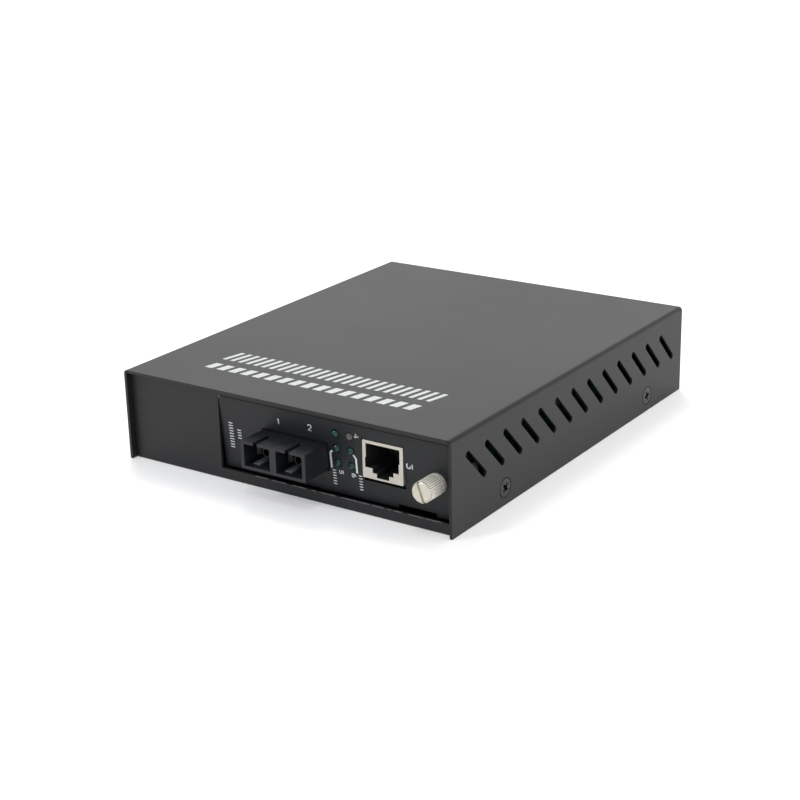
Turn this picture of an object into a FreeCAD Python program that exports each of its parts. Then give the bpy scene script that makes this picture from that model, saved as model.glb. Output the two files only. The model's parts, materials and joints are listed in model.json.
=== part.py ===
"""Fibre media converter: a slide-in converter card in a folded steel case.

Millimetres.  X runs to the right as seen from the front, Y to the back, Z up.  The origin is the
centre of the case's footprint on the surface that it rests on; the front faces -Y.
"""
import FreeCAD, Part
import math
import os
import re
import Sketcher

# ---------------------------------------------------------------- driving dimensions

SIZES = {
    # case
    "case_width": 130.0,
    "case_depth": 158.0,
    "case_height": 32.0,
    "sheet": 1.0,
    "bend_radius": 1.4,
    "seat_gap": 0.1,
    "cover_lift": 0.2,
    "panel_recess": 2.2,
    "rear_recess": 1.2,
    "flange_height": 12.0,
    "lip_depth": 6.0,
    "corner_relief": 2.0,
    # ventilation slots in the side walls; start and top are the first slot's upper end
    "slot_count": 13,
    "slot_width": 2.4,
    "slot_reach": 9.35,
    "slot_start": 9.25,
    "slot_top": 24.65,
    "slot_pitch": 10.95,
    # cover screws, placed from the cover's front edge
    "screw_height": 6.0,
    "screw_front": 31.2,
    "screw_back": 130.5,
    "screw_head": 3.1,
    "screw_rim": 0.4,
    "screw_ring": 0.35,
    "screw_shank": 1.5,
    "screw_length": 3.4,
    "screw_gap": 0.05,
    "cross_width": 0.9,
    "cross_span": 3.4,
    "cross_depth": 0.6,
    "cross_pit": 0.9,
    "cross_turn_front": 45.0,
    "cross_turn_back": 12.0,
    # card bay in the front panel
    "bay_left": -26.2,
    "bay_right": 62.5,
    "bay_bottom": 3.9,
    "bay_top": 29.4,
    # card faceplate, which leans: its top edge is flush with the panel
    "plate_gap": 0.2,
    "plate_top_gap": 0.2,
    "plate_thick": 1.2,
    "plate_lean": 5.0,
    "plate_cut": 6.0,
    "notch_left": 42.7,
    "notch_width": 14.0,
    "notch_height": 1.3,
    "port_gap": 0.3,
    "lug_width": 8.0,
    "lug_thick": 1.2,
    "lug_back": 12.8,
    "lug_left": -16.0,
    "lug_right": 49.6,
    "lug_screw_back": 9.6,
    "lug_screw": 1.25,
    "lug_screw_past": 1.5,
    # card board
    "board_thick": 1.6,
    "board_top": 11.4,
    "board_left": -23.4,
    "board_right": 59.0,
    "board_front": 3.2,
    "board_depth": 111.6,
    "board_side_gap": 0.2,
    "groove_gap": 0.15,
    # card guides
    "guide_front": 20.0,
    "guide_depth": 88.0,
    "guide_wall": 2.2,
    "guide_grip": 1.4,
    "guide_lip": 1.8,
    "guide_foot": 5.0,
    "guide_slope": 1.2,
    "guide_mouth": 0.8,
    # duplex SC receptacle
    "sc_middle": 4.1,
    "sc_width": 25.5,
    "sc_height": 9.3,
    "sc_bottom": 11.4,
    "sc_reach": 12.0,
    "sc_behind": 4.6,
    "sc_pitch": 12.7,
    "sc_port_width": 10.2,
    "sc_port_height": 7.4,
    "sc_port_depth": 13.6,
    "sc_key_width": 1.8,
    "sc_key_length": 7.8,
    "sc_key_offset": -0.5,
    "sc_round": 0.4,
    "sleeve_radius": 1.6,
    "sleeve_bore": 1.25,
    "sleeve_length": 8.6,
    "latch_length": 8.0,
    "latch_thick": 0.7,
    "latch_height": 3.4,
    "latch_hook": 1.0,
    "transceiver_depth": 26.0,
    "transceiver_height": 10.0,
    "transceiver_round": 0.8,
    # RJ45 jack
    "jack_left": 30.7,
    "jack_width": 15.1,
    "jack_bottom": 12.6,
    "jack_height": 12.5,
    "jack_depth": 16.0,
    "jack_front": 0.4,
    "jack_sheet": 0.35,
    "jack_gap": 0.05,
    "insert_gap": 0.1,
    "jack_port_width": 12.6,
    "jack_port_top": 24.1,
    "jack_tab": 19.4,
    "jack_tab_width": 0.35,
    "jack_shoulder": 16.1,
    "jack_step_width": 7.8,
    "jack_step": 14.6,
    "jack_latch_width": 4.6,
    "jack_latch": 13.2,
    "jack_port_depth": 12.6,
    "jack_foot_back": 3.0,
    "contact_pitch": 1.02,
    "contact_width": 0.42,
    "contact_thick": 0.3,
    "contact_drop": 3.4,
    "contact_run": 7.0,
    "contact_start": 2.2,
    # indicator lamps
    "lamp_left": 20.6,
    "lamp_pitch_x": 5.4,
    "lamp_top": 25.0,
    "lamp_pitch_z": 5.1,
    "lamp_radius": 1.35,
    "lamp_reach": 1.0,
    "lamp_gap": 0.15,
    "holder_margin": 2.4,
    "holder_front": 3.8,
    "holder_depth": 6.0,
    "holder_bevel": 1.0,
    # thumbscrew
    "thumb_x": 57.6,
    "thumb_z": 15.9,
    "knob_radius": 3.45,
    "knob_front": 7.9,
    "knob_length": 8.1,
    "knob_rim": 0.8,
    "knob_chamfer": 0.45,
    "knurl_count": 30,
    "knurl_depth": 0.26,
    "knurl_tail": 0.7,
    "driver_width": 0.9,
    "driver_depth": 1.3,
    "driver_turn": 20.0,
    "thumb_shank": 1.5,
    "thumb_length": 11.2,
    "thread_gap": 0.05,
    "thumb_bevel": 0.4,
    "collar_flange": 3.4,
    "collar_seat": 0.1,
    "collar_blank": 3.0,
    "collar_barrel": 2.3,
    "collar_back": 3.0,
    "ear_front": 4.2,
    "ear_thick": 2.0,
    "ear_margin": 3.6,
    "bracket_depth": 12.0,
    # power supply board in the left bay
    "supply_left": -61.0,
    "supply_width": 32.0,
    "supply_front": -60.0,
    "supply_depth": 94.0,
    "standoff_height": 5.0,
    "standoff_radius": 2.5,
    "standoff_inset": 3.5,
    "standoff_screw_past": 3.0,
    "pan_radius": 2.4,
    "pan_height": 1.4,
    "can_rim": 0.6,
    "core_width": 20.0,
    "core_depth": 6.0,
    "core_height": 16.0,
    "core_leg": 4.0,
    "core_edge": 2.6,
    "core_yoke": 3.4,
    "base_height": 2.0,
    "winding_gap": 0.15,
    "winding_bulge": 4.6,
    "winding_round": 1.5,
    "transformer_x": -45.0,
    "transformer_y": -30.0,
    "bulk_radius": 6.2,
    "bulk_height": 20.0,
    "bulk_rim": 0.9,
    "bulk_x": -46.0,
    "bulk_y": 2.0,
    "output_radius": 4.0,
    "output_height": 11.5,
    "output_x": -35.4,
    "output_y": -14.0,
    "output_pitch": 10.0,
    "fuse_x": -55.0,
    "fuse_y": -12.0,
    "fuse_radius": 2.6,
    "fuse_length": 15.0,
    "clip_length": 3.2,
    "clip_wall": 0.8,
    "clip_lift": 1.0,
    "clip_gap": 0.05,
    "heatsink_inset": 1.2,
    "heatsink_start": 7.0,
    "heatsink_height": 16.0,
    "heatsink_thick": 3.4,
    "heatsink_web": 1.2,
    "fin_count": 4,
    "fin_pitch": 4.8,
    "fin_thick": 1.6,
    "switch_width": 4.5,
    "switch_depth": 10.0,
    "switch_height": 14.0,
    "header_width": 9.0,
    "header_depth": 8.0,
    "header_height": 8.5,
    "header_setback": 12.0,
    "header_hole": 3.0,
    "way_offset": 2.1,
    "way_radius": 1.2,
    "mains_header_x": -53.0,
    "low_header_x": -38.0,
    # backplane
    "backplane_gap": 0.4,
    "socket_depth": 6.0,
    "socket_width": 20.0,
    "socket_height": 7.0,
    "socket_x": 30.0,
    "pin_radius": 0.45,
    "pin_gap": 0.1,
    "pin_pitch": 5.08,
    "pin_reach": 4.6,
    "plug_depth": 8.0,
    "backplane_left": -8.0,
    "backplane_width": 56.0,
    "backplane_bottom": 3.0,
    "backplane_height": 20.0,
    "bracket_foot": 12.0,
    "bracket_round": 0.8,
    "backplane_screw_z": 19.0,
    "backplane_screw_left": 5.0,
    "backplane_screw_right": 4.0,
    "backplane_screw_past": 1.0,
    # mains inlet
    "inlet_x": -36.0,
    "inlet_z": 16.0,
    "inlet_flange_width": 50.0,
    "inlet_flange_height": 22.4,
    "inlet_flange_tip": 9.0,
    "inlet_flange_thick": 2.4,
    "inlet_flange_round": 2.0,
    "inlet_shoulder": 1.0,
    "inlet_body_width": 27.6,
    "inlet_body_height": 20.0,
    "inlet_body_depth": 15.6,
    "inlet_cut_gap": 0.2,
    "inlet_mouth_width": 24.4,
    "inlet_mouth_height": 16.4,
    "inlet_mouth_corner": 4.6,
    "inlet_mouth_depth": 15.4,
    "inlet_screw_pitch": 40.0,
    "inlet_pin_pitch": 14.0,
    "inlet_pin_rise": 4.0,
    "inlet_pin_drop": 2.0,
    "inlet_pin_width": 2.0,
    "inlet_pin_height": 4.0,
    "inlet_pin_length": 10.6,
    "inlet_pin_gap": 0.03,
    "inlet_tab_length": 8.0,
    "inlet_tab_height": 0.8,
    "inlet_tab_width": 4.8,
    "inlet_head_radius": 2.7,
    "inlet_head_height": 1.7,
    "inlet_screw_past": 1.5,
    "nut_flats": 5.5,
    "nut_height": 2.4,
    # internal leads
    "mains_wire": 1.1,
    "low_wire": 0.8,
    "wire_bend": 4.4,
    "low_bend": 3.0,
    "lead_pitch": 3.2,
    "lead_approach": 6.4,
    "lead_landing": 6.0,
}

# Parts on the card's board: middle x, middle behind the board's front edge, width, depth, height, bevel.
CARD_BLOCKS = {
    "converter_chip": (12.0, 58.0, 20.0, 20.0, 1.8, 0.4),
    "line_chip": (36.0, 40.0, 10.0, 10.0, 1.4, 0.3),
    "line_magnetics": (38.2, 24.0, 12.7, 9.0, 5.6, 0.5),
    "regulator": (-14.0, 84.0, 9.0, 10.0, 2.3, 0.3),
    "clock_crystal": (30.0, 54.0, 11.0, 4.6, 3.4, 0.6),
}
for label, values in CARD_BLOCKS.items():
    for word, value in zip(("x", "y", "width", "depth", "height", "bevel"), values):
        SIZES["%s_%s" % (label, word)] = value

# Round parts on the card's board: middles, then radius, height and rim.
CARD_CANS = {
    "power_inductor": (((-14.0, 66.0),), (5.0, 5.2, 1.0)),
    "card_capacitors": (((-14.0, 47.0), (-4.0, 84.0), (6.0, 84.0)), (3.15, 7.7, 0.6)),
}
LETTERS = "abc"
for label, (middles, values) in CARD_CANS.items():
    for letter, (x, y) in zip(LETTERS, middles):
        SIZES["%s_x_%s" % (label, letter)] = x
        SIZES["%s_y_%s" % (label, letter)] = y
    for word, value in zip(("radius", "height", "rim"), values):
        SIZES["%s_%s" % (label, word)] = value

CONTACTS = 8
POWER_PINS = 3
LAMP_LEVELS = 3
LAMP_COLUMNS = 2

doc = FreeCAD.newDocument("media_converter")
sheet = doc.addObject("Spreadsheet::Sheet", "dims")
for row, (alias, value) in enumerate(SIZES.items(), 1):
    sheet.set("A%d" % row, alias)
    sheet.set("B%d" % row, str(value))
    sheet.setAlias("B%d" % row, alias)
doc.recompute()

# ---------------------------------------------------------------- places worked out from them

FRONT = "(panel_recess - case_depth / 2)"
REAR = "(case_depth / 2 - rear_recess)"
COVER_FRONT = "(-case_depth / 2)"
TRAY_HALF = "(case_width / 2 - sheet - seat_gap)"
TRAY_TOP = "(case_height - sheet - seat_gap)"
PLATE_TOP = "(bay_top - plate_top_gap)"
PLATE_LOW = "(bay_bottom + plate_gap)"
BOARD_LOW = "(board_top - board_thick)"
BOARD_FRONT = "(%s + board_front)" % FRONT
BOARD_BACK = "(%s + board_depth)" % BOARD_FRONT
SUPPLY_TOP = "(sheet + standoff_height + board_thick)"
SOCKET_FRONT = "(%s + backplane_gap)" % BOARD_BACK
BACKPLANE_FRONT = "(%s + socket_depth)" % SOCKET_FRONT
BACKPLANE_BACK = "(%s + board_thick)" % BACKPLANE_FRONT

WORD = re.compile(r"[a-z][a-z_]+")


def rule(text):
    """A rule written with bare size names, as an expression that reads the sheet."""
    return WORD.sub(lambda m: "dims." + m.group() if m.group() in SIZES else m.group(), str(text))


def plate_face(z):
    """Where the leaning plate's front face stands at height z, as a rule."""
    return "(%s + (%s - (%s)) * tan(plate_lean))" % (FRONT, PLATE_TOP, z)


# ---------------------------------------------------------------- modelling helpers

parts = []
X = FreeCAD.Vector(1, 0, 0)
Y = FreeCAD.Vector(0, 1, 0)
Z = FreeCAD.Vector(0, 0, 1)


def bind(thing, rules):
    """Tie each named property to its rule."""
    for name, text in rules.items():
        thing.setExpression(name, rule(text))


def keep(thing, label):
    """Name a finished sub-part and put it on the list that is written out."""
    thing.Label = label
    parts.append(thing)
    return thing


def new_body(label, x="0", y="0", z="0"):
    """A sub-part made with PartDesign, with its own origin at (x, y, z)."""
    body = doc.addObject("PartDesign::Body", label)
    bind(body, {"Placement.Base.x": x, "Placement.Base.y": y, "Placement.Base.z": z})
    return keep(body, label)


def datum(body, role):
    """One of the body's own planes or axes."""
    return [item for item in body.Origin.OriginFeatures if item.Role == role][0]


def new_sketch(body, plane, offset="0"):
    """A sketch on XY, XZ or YZ; the offset is measured along +Z, +Y or +X."""
    sketch = body.newObject("Sketcher::SketchObject", body.Name + "_sketch")
    sketch.AttachmentSupport = (datum(body, plane + "_Plane"), [""])
    sketch.MapMode = "FlatFace"
    sign = "-" if plane == "XZ" else ""
    sketch.setExpression("AttachmentOffset.Base.z", rule("%s(%s)" % (sign, offset)))
    return sketch


def fix(sketch, kind, geometry, vertex, text):
    """Set one coordinate of a vertex, measured from the sketch's origin."""
    point = sketch.getPoint(geometry, vertex)
    now = point.x if kind == "DistanceX" else point.y
    index = sketch.addConstraint(Sketcher.Constraint(kind, -1, 1, geometry, vertex, now))
    sketch.setExpression("Constraints[%d]" % index, rule(text))


def outline(sketch, points):
    """A closed outline of straight lines through (x, y) rules."""
    first = sketch.GeometryCount
    count = len(points)
    for index in range(count):
        angle = 2 * math.pi * index / count
        turn = 2 * math.pi * (index + 1) / count
        start = FreeCAD.Vector(math.cos(angle), math.sin(angle), 0)
        end = FreeCAD.Vector(math.cos(turn), math.sin(turn), 0)
        sketch.addGeometry(Part.LineSegment(start, end), False)
    for index in range(count):
        following = first + (index + 1) % count
        sketch.addConstraint(Sketcher.Constraint("Coincident", first + index, 2, following, 1))
    for index, (x, y) in enumerate(points):
        fix(sketch, "DistanceX", first + index, 1, x)
        fix(sketch, "DistanceY", first + index, 1, y)
    return sketch


def rectangle(sketch, left, low, right, high):
    """A rectangle between two corners."""
    return outline(sketch, [(left, low), (right, low), (right, high), (left, high)])


def turned(x, y, angle):
    """The rules for (x, y) turned anticlockwise about the origin."""
    return ("(({0}) * cos({2}) - ({1}) * sin({2}))".format(x, y, angle),
            "(({0}) * sin({2}) + ({1}) * cos({2}))".format(x, y, angle))


def circle(sketch, x, y, radius):
    """A circle about (x, y)."""
    place = sketch.addGeometry(Part.Circle(FreeCAD.Vector(0, 0, 0), Z, 1.0), False)
    fix(sketch, "DistanceX", place, 3, x)
    fix(sketch, "DistanceY", place, 3, y)
    index = sketch.addConstraint(Sketcher.Constraint("Radius", place, 1.0))
    sketch.setExpression("Constraints[%d]" % index, rule(radius))
    return sketch


def long_hole(sketch, x1, y1, x2, y2, width):
    """A round-ended slot between two end centres."""
    top = Part.Circle(FreeCAD.Vector(-5, 5, 0), Z, 1.0)
    low = Part.Circle(FreeCAD.Vector(5, -5, 0), Z, 1.0)
    quarter = math.pi / 4
    side = FreeCAD.Vector(math.sqrt(0.5), math.sqrt(0.5), 0)
    start = FreeCAD.Vector(-5, 5, 0)
    end = FreeCAD.Vector(5, -5, 0)
    first = sketch.GeometryCount
    sketch.addGeometry(Part.ArcOfCircle(top, quarter, 5 * quarter), False)
    sketch.addGeometry(Part.LineSegment(start - side, end - side), False)
    sketch.addGeometry(Part.ArcOfCircle(low, -3 * quarter, quarter), False)
    sketch.addGeometry(Part.LineSegment(end + side, start + side), False)
    joins = ((0, 2, 1, 1), (1, 2, 2, 1), (2, 2, 3, 1), (3, 2, 0, 1))
    for a, a_end, b, b_end in joins:
        sketch.addConstraint(Sketcher.Constraint("Tangent", first + a, a_end, first + b, b_end))
    sketch.addConstraint(Sketcher.Constraint("Equal", first, first + 2))
    for geometry, x, y in ((first, x1, y1), (first + 2, x2, y2)):
        fix(sketch, "DistanceX", geometry, 3, x)
        fix(sketch, "DistanceY", geometry, 3, y)
    index = sketch.addConstraint(Sketcher.Constraint("Radius", first, 1.0))
    sketch.setExpression("Constraints[%d]" % index, rule("(%s) / 2" % width))
    return sketch


def pad(sketch, length, towards=1, both=False):
    """Raise a sketch by a length along +Z, +Y or +X, or along the other way with towards -1."""
    body = sketch.getParentGeoFeatureGroup()
    feature = body.newObject("PartDesign::Pad", body.Name + "_pad")
    feature.Profile = sketch
    across_y = sketch.AttachmentSupport[0][0].Role == "XZ_Plane"
    feature.Reversed = (towards < 0) != across_y
    feature.SideType = "Symmetric" if both else "One side"
    bind(feature, {"Length": length})
    sketch.Visibility = False
    return feature


def pocket(sketch, length, towards=1, both=False):
    """Cut a sketch by a length along +Z, +Y or +X, or along the other way with towards -1."""
    body = sketch.getParentGeoFeatureGroup()
    feature = body.newObject("PartDesign::Pocket", body.Name + "_pocket")
    feature.Profile = sketch
    across_y = sketch.AttachmentSupport[0][0].Role == "XZ_Plane"
    feature.Reversed = (towards > 0) != across_y
    feature.SideType = "Symmetric" if both else "One side"
    bind(feature, {"Length": length})
    return feature


def straight_edges(feature, axis, test):
    """Names of the straight edges along an axis whose middle passes the test."""
    doc.recompute()
    names = []
    for number, edge in enumerate(feature.Shape.Edges, 1):
        if not isinstance(edge.Curve, (Part.Line, Part.LineSegment)):
            continue
        direction = edge.tangentAt(edge.FirstParameter)
        if abs(abs(direction.dot(axis)) - 1) < 1e-6 and test(edge.CenterOfMass):
            names.append("Edge%d" % number)
    return names


def round_edges(feature, test):
    """Names of the circular edges whose circle's centre passes the test."""
    doc.recompute()
    names = []
    for number, edge in enumerate(feature.Shape.Edges, 1):
        if isinstance(edge.Curve, Part.Circle) and test(edge.Curve.Center, edge.Curve.Radius):
            names.append("Edge%d" % number)
    return names


def dress(kind, feature, edges, size):
    """A Fillet or Chamfer on named edges of a feature."""
    body = feature.getParentGeoFeatureGroup()
    dressed = body.newObject("PartDesign::" + kind, body.Name + "_" + kind.lower())
    dressed.Base = (feature, edges)
    bind(dressed, {"Radius" if kind == "Fillet" else "Size": size})
    return dressed


def near(a, b):
    """Whether two lengths are the same."""
    return abs(a - b) < 1e-3


def block(label, left, front, low, right, back, high):
    """A rectangular solid between two corners."""
    body = new_body(label)
    pad(rectangle(new_sketch(body, "XY", low), left, front, right, back), "(%s) - (%s)" % (high, low))
    return body


def can(label, centres, low, radius, height, rim="can_rim"):
    """Upright round cans with a rolled top rim."""
    body = new_body(label)
    profile = new_sketch(body, "XY", low)
    for x, y in centres:
        circle(profile, x, y, radius)
    raised = pad(profile, height)
    dress("Chamfer", raised, round_edges(raised, top_of(raised)), rim)
    return body


def top_of(feature):
    """A test for circles that lie on the feature's highest face."""
    doc.recompute()
    highest = feature.Shape.BoundBox.ZMax
    return lambda centre, radius: near(centre.z, highest)


def pan_screws(label, centres, seat, length, shank):
    """Upright pan-head screws: a head above the seat and a shank below it."""
    body = new_body(label)
    heads = new_sketch(body, "XY", seat)
    shanks = new_sketch(body, "XY", seat)
    for x, y in centres:
        circle(heads, x, y, "pan_radius")
        circle(shanks, x, y, shank)
    raised = pad(heads, "pan_height")
    dress("Chamfer", raised, round_edges(raised, top_of(raised)), "pan_height / 3")
    pad(shanks, length, towards=-1)
    return body


# ---------------------------------------------------------------- case

def screw_place(place):
    """Where a cover screw stands along the side wall."""
    return {"Placement.Base.y": "%s + %s" % (COVER_FRONT, place), "Placement.Base.z": "screw_height"}


def make_top_cover():
    """Folded roof and two side walls, with slanted slots and countersunk holes."""
    body = new_body("top_cover")
    inner = "(case_width / 2 - sheet)"
    section = new_sketch(body, "XZ")
    outline(section, [
        ("-case_width / 2", "cover_lift"), ("-case_width / 2", "case_height"),
        ("case_width / 2", "case_height"), ("case_width / 2", "cover_lift"),
        (inner, "cover_lift"), (inner, "case_height - sheet"),
        ("-" + inner, "case_height - sheet"), ("-" + inner, "cover_lift"),
    ])
    shell = pad(section, "case_depth", both=True)
    roof = SIZES["case_height"]
    outer = straight_edges(shell, Y, lambda p: near(p.z, roof))
    folded = dress("Fillet", shell, outer, "bend_radius")
    under = straight_edges(folded, Y, lambda p: near(p.z, roof - SIZES["sheet"]))
    dress("Fillet", folded, under, "bend_radius - sheet")

    slot = new_sketch(body, "YZ")
    start = "%s + slot_start" % COVER_FRONT
    long_hole(slot, start, "slot_top", start + " + slot_reach", "slot_top - slot_reach", "slot_width")
    cut = pocket(slot, "2 * case_width", both=True)
    row = body.newObject("PartDesign::LinearPattern", "cover_slots")
    row.Originals = [cut]
    row.Direction = (datum(body, "Y_Axis"), [""])
    row.Mode = "Spacing"
    bind(row, {"Offset": "slot_pitch", "Occurrences": "slot_count"})
    body.Tip = row
    for side in (1, -1):
        for place in ("screw_front", "screw_back"):
            turn = FreeCAD.Rotation(Z, X * side)
            where = screw_place(place)
            cone = body.newObject("PartDesign::SubtractiveCone", "countersink")
            cone.Placement = FreeCAD.Placement(FreeCAD.Vector(), turn)
            bind(cone, dict(where, **{
                "Radius1": "screw_shank + screw_gap", "Radius2": "screw_head + screw_ring",
                "Height": "sheet - screw_rim", "Placement.Base.x": "%d * %s" % (side, inner),
            }))
            rim = body.newObject("PartDesign::SubtractiveCylinder", "countersink_rim")
            rim.Placement = FreeCAD.Placement(FreeCAD.Vector(), turn)
            bind(rim, dict(where, **{
                "Radius": "screw_head + screw_ring", "Height": "screw_rim",
                "Placement.Base.x": "%d * (case_width / 2 - screw_rim)" % side,
            }))


def make_base_chassis():
    """Folded tray: floor, side flanges, recessed front panel with the card bay, rear panel."""
    body = new_body("base_chassis")
    inner = "(%s - sheet)" % TRAY_HALF
    length = "(%s - %s)" % (REAR, FRONT)
    floor = new_sketch(body, "XY")
    rectangle(floor, "-" + TRAY_HALF, FRONT, TRAY_HALF, REAR)
    pad(floor, "sheet")
    flanges = new_sketch(body, "XZ", "(%s + %s) / 2" % (FRONT, REAR))
    rectangle(flanges, "-" + TRAY_HALF, "0", "-" + inner, "flange_height")
    rectangle(flanges, inner, "0", TRAY_HALF, "flange_height")
    pad(flanges, length + " - 2 * (sheet + corner_relief)", both=True)

    front = new_sketch(body, "XZ", FRONT)
    rectangle(front, "-" + TRAY_HALF, "0", TRAY_HALF, TRAY_TOP)
    rectangle(front, "bay_left", "bay_bottom", "bay_right", "bay_top")
    pad(front, "sheet")
    rear = new_sketch(body, "XZ", REAR)
    rectangle(rear, "-" + TRAY_HALF, "0", TRAY_HALF, TRAY_TOP)
    across = "(inlet_body_width / 2 + inlet_cut_gap)"
    up = "(inlet_body_height / 2 + inlet_cut_gap)"
    rectangle(rear, "inlet_x - " + across, "inlet_z - " + up, "inlet_x + " + across, "inlet_z + " + up)
    for side in "-+":
        circle(rear, "inlet_x %s inlet_screw_pitch / 2" % side, "inlet_z", "screw_shank + screw_gap")
    pad(rear, "sheet", towards=-1)

    for face, towards in ((FRONT, 1), (REAR, -1)):
        lip = new_sketch(body, "XZ", face)
        reach = "(%s - corner_relief)" % TRAY_HALF
        rectangle(lip, "-" + reach, TRAY_TOP + " - sheet", reach, TRAY_TOP)
        pad(lip, "lip_depth", towards)

    holes = new_sketch(body, "YZ")
    for place in ("screw_front", "screw_back"):
        circle(holes, "%s + %s" % (COVER_FRONT, place), "screw_height", "screw_shank + screw_gap")
    drilled = pocket(holes, "2 * case_width", both=True)
    doc.recompute()
    box = drilled.Shape.BoundBox

    def lowest(p):
        """Whether a point lies on the tray's underside."""
        return near(p.z, box.ZMin)

    folds = straight_edges(drilled, X, lambda p: lowest(p) and (near(p.y, box.YMin) or near(p.y, box.YMax)))
    folds += straight_edges(drilled, Y, lambda p: lowest(p) and near(abs(p.x), box.XMax)
                            and abs(p.y) < SIZES["guide_foot"])
    dress("Fillet", drilled, folds, "bend_radius / 2")


def make_cover_screws():
    """Four countersunk cross-head screws through the cover into the tray's flanges."""
    body = new_body("cover_screws")
    widening = "(screw_head + screw_ring - screw_shank - screw_gap)"
    flank = "((screw_head - screw_shank) * (sheet - screw_rim) / %s)" % widening
    for side in (1, -1):
        for place in ("screw_front", "screw_back"):
            turn = FreeCAD.Rotation(Z, X * side)
            where = screw_place(place)
            head = body.newObject("PartDesign::AdditiveCone", "head")
            head.Placement = FreeCAD.Placement(FreeCAD.Vector(), turn)
            bind(head, dict(where, **{
                "Radius1": "screw_shank", "Radius2": "screw_head", "Height": flank,
                "Placement.Base.x": "%d * (case_width / 2 - sheet)" % side,
            }))
            rim = body.newObject("PartDesign::AdditiveCylinder", "rim")
            rim.Placement = FreeCAD.Placement(FreeCAD.Vector(), turn)
            bind(rim, dict(where, **{
                "Radius": "screw_head", "Height": "sheet - %s" % flank,
                "Placement.Base.x": "%d * (case_width / 2 - sheet + %s)" % (side, flank),
            }))
            shank = body.newObject("PartDesign::AdditiveCylinder", "shank")
            shank.Placement = FreeCAD.Placement(FreeCAD.Vector(), turn)
            bind(shank, dict(where, **{
                "Radius": "screw_shank", "Height": "screw_length - sheet / 2",
                "Placement.Base.x": "%d * (case_width / 2) - %s" % (
                    side, "screw_length" if side > 0 else "(-screw_length)"),
            }))
    arm = "cross_span / 2"
    web = "cross_width / 2"
    corners = [("-" + arm, "-" + web), ("-" + web, "-" + web), ("-" + web, "-" + arm),
               (web, "-" + arm), (web, "-" + web), (arm, "-" + web), (arm, web), (web, web),
               (web, arm), ("-" + web, arm), ("-" + web, web), ("-" + arm, web)]
    for side in (1, -1):
        cross = new_sketch(body, "YZ", "%d * case_width / 2" % side)
        pit = new_sketch(body, "YZ", "%d * case_width / 2" % side)
        for place, turn in (("screw_front", "cross_turn_front"), ("screw_back", "cross_turn_back")):
            middle = "(%s + %s)" % (COVER_FRONT, place)
            points = [turned(a, b, turn) for a, b in corners]
            outline(cross, [("%s + %s" % (middle, x), "screw_height + %s" % y) for x, y in points])
            circle(pit, middle, "screw_height", "cross_pit")
        pocket(cross, "cross_depth", towards=-side)
        pocket(pit, "cross_depth + screw_rim", towards=-side)


def make_card_guides():
    """Moulded rails that stand on the floor and grip the card board's long edges."""
    low = BOARD_LOW + " - groove_gap"
    high = "board_top + groove_gap"
    for label, edge, out in (("card_guide_left", "board_left", -1), ("card_guide_right", "board_right", 1)):
        def off(distance):
            return "%s + %d * (%s)" % (edge, out, distance)
        body = new_body(label)
        section = new_sketch(body, "XZ", FRONT + " + guide_front")
        outer = off("board_side_gap + guide_wall")
        grip = off("-guide_grip")
        wall = off("board_side_gap")
        foot = off("-guide_foot")
        outline(section, [
            (outer, "sheet"), (outer, high + " + guide_lip"), (grip, high + " + guide_lip"),
            (grip, high), (wall, high), (wall, low), (grip, low), (grip, low + " - guide_lip"),
            (wall, low + " - guide_lip - guide_slope"), (wall, "2 * sheet"),
            (foot, "2 * sheet"), (foot, "sheet"),
        ])
        rail = pad(section, "guide_depth")
        doc.recompute()
        start = rail.Shape.BoundBox.YMin
        under = SIZES["board_top"] - SIZES["board_thick"] - SIZES["groove_gap"]
        over = SIZES["board_top"] + SIZES["groove_gap"]
        mouth = straight_edges(rail, X, lambda p: near(p.y, start) and (near(p.z, under) or near(p.z, over)))
        dress("Chamfer", rail, mouth, "guide_mouth")


def make_latch_bracket():
    """Bracket on the tray's right flange, with the tapped ear for the thumbscrew."""
    body = new_body("latch_bracket")
    wall = "(%s - sheet)" % TRAY_HALF
    leg = new_sketch(body, "YZ", wall)
    front = "%s + ear_front" % FRONT
    rectangle(leg, front, "sheet", front + " + bracket_depth", "thumb_z + ear_margin")
    pad(leg, "sheet", towards=-1)
    ear = new_sketch(body, "XZ", front)
    rectangle(ear, "thumb_x - ear_margin", "thumb_z - ear_margin", wall, "thumb_z + ear_margin")
    pad(ear, "ear_thick")
    hole = new_sketch(body, "XZ", front)
    circle(hole, "thumb_x", "thumb_z", "thumb_shank + thread_gap")
    pocket(hole, "ear_thick")


# ---------------------------------------------------------------- card

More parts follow.
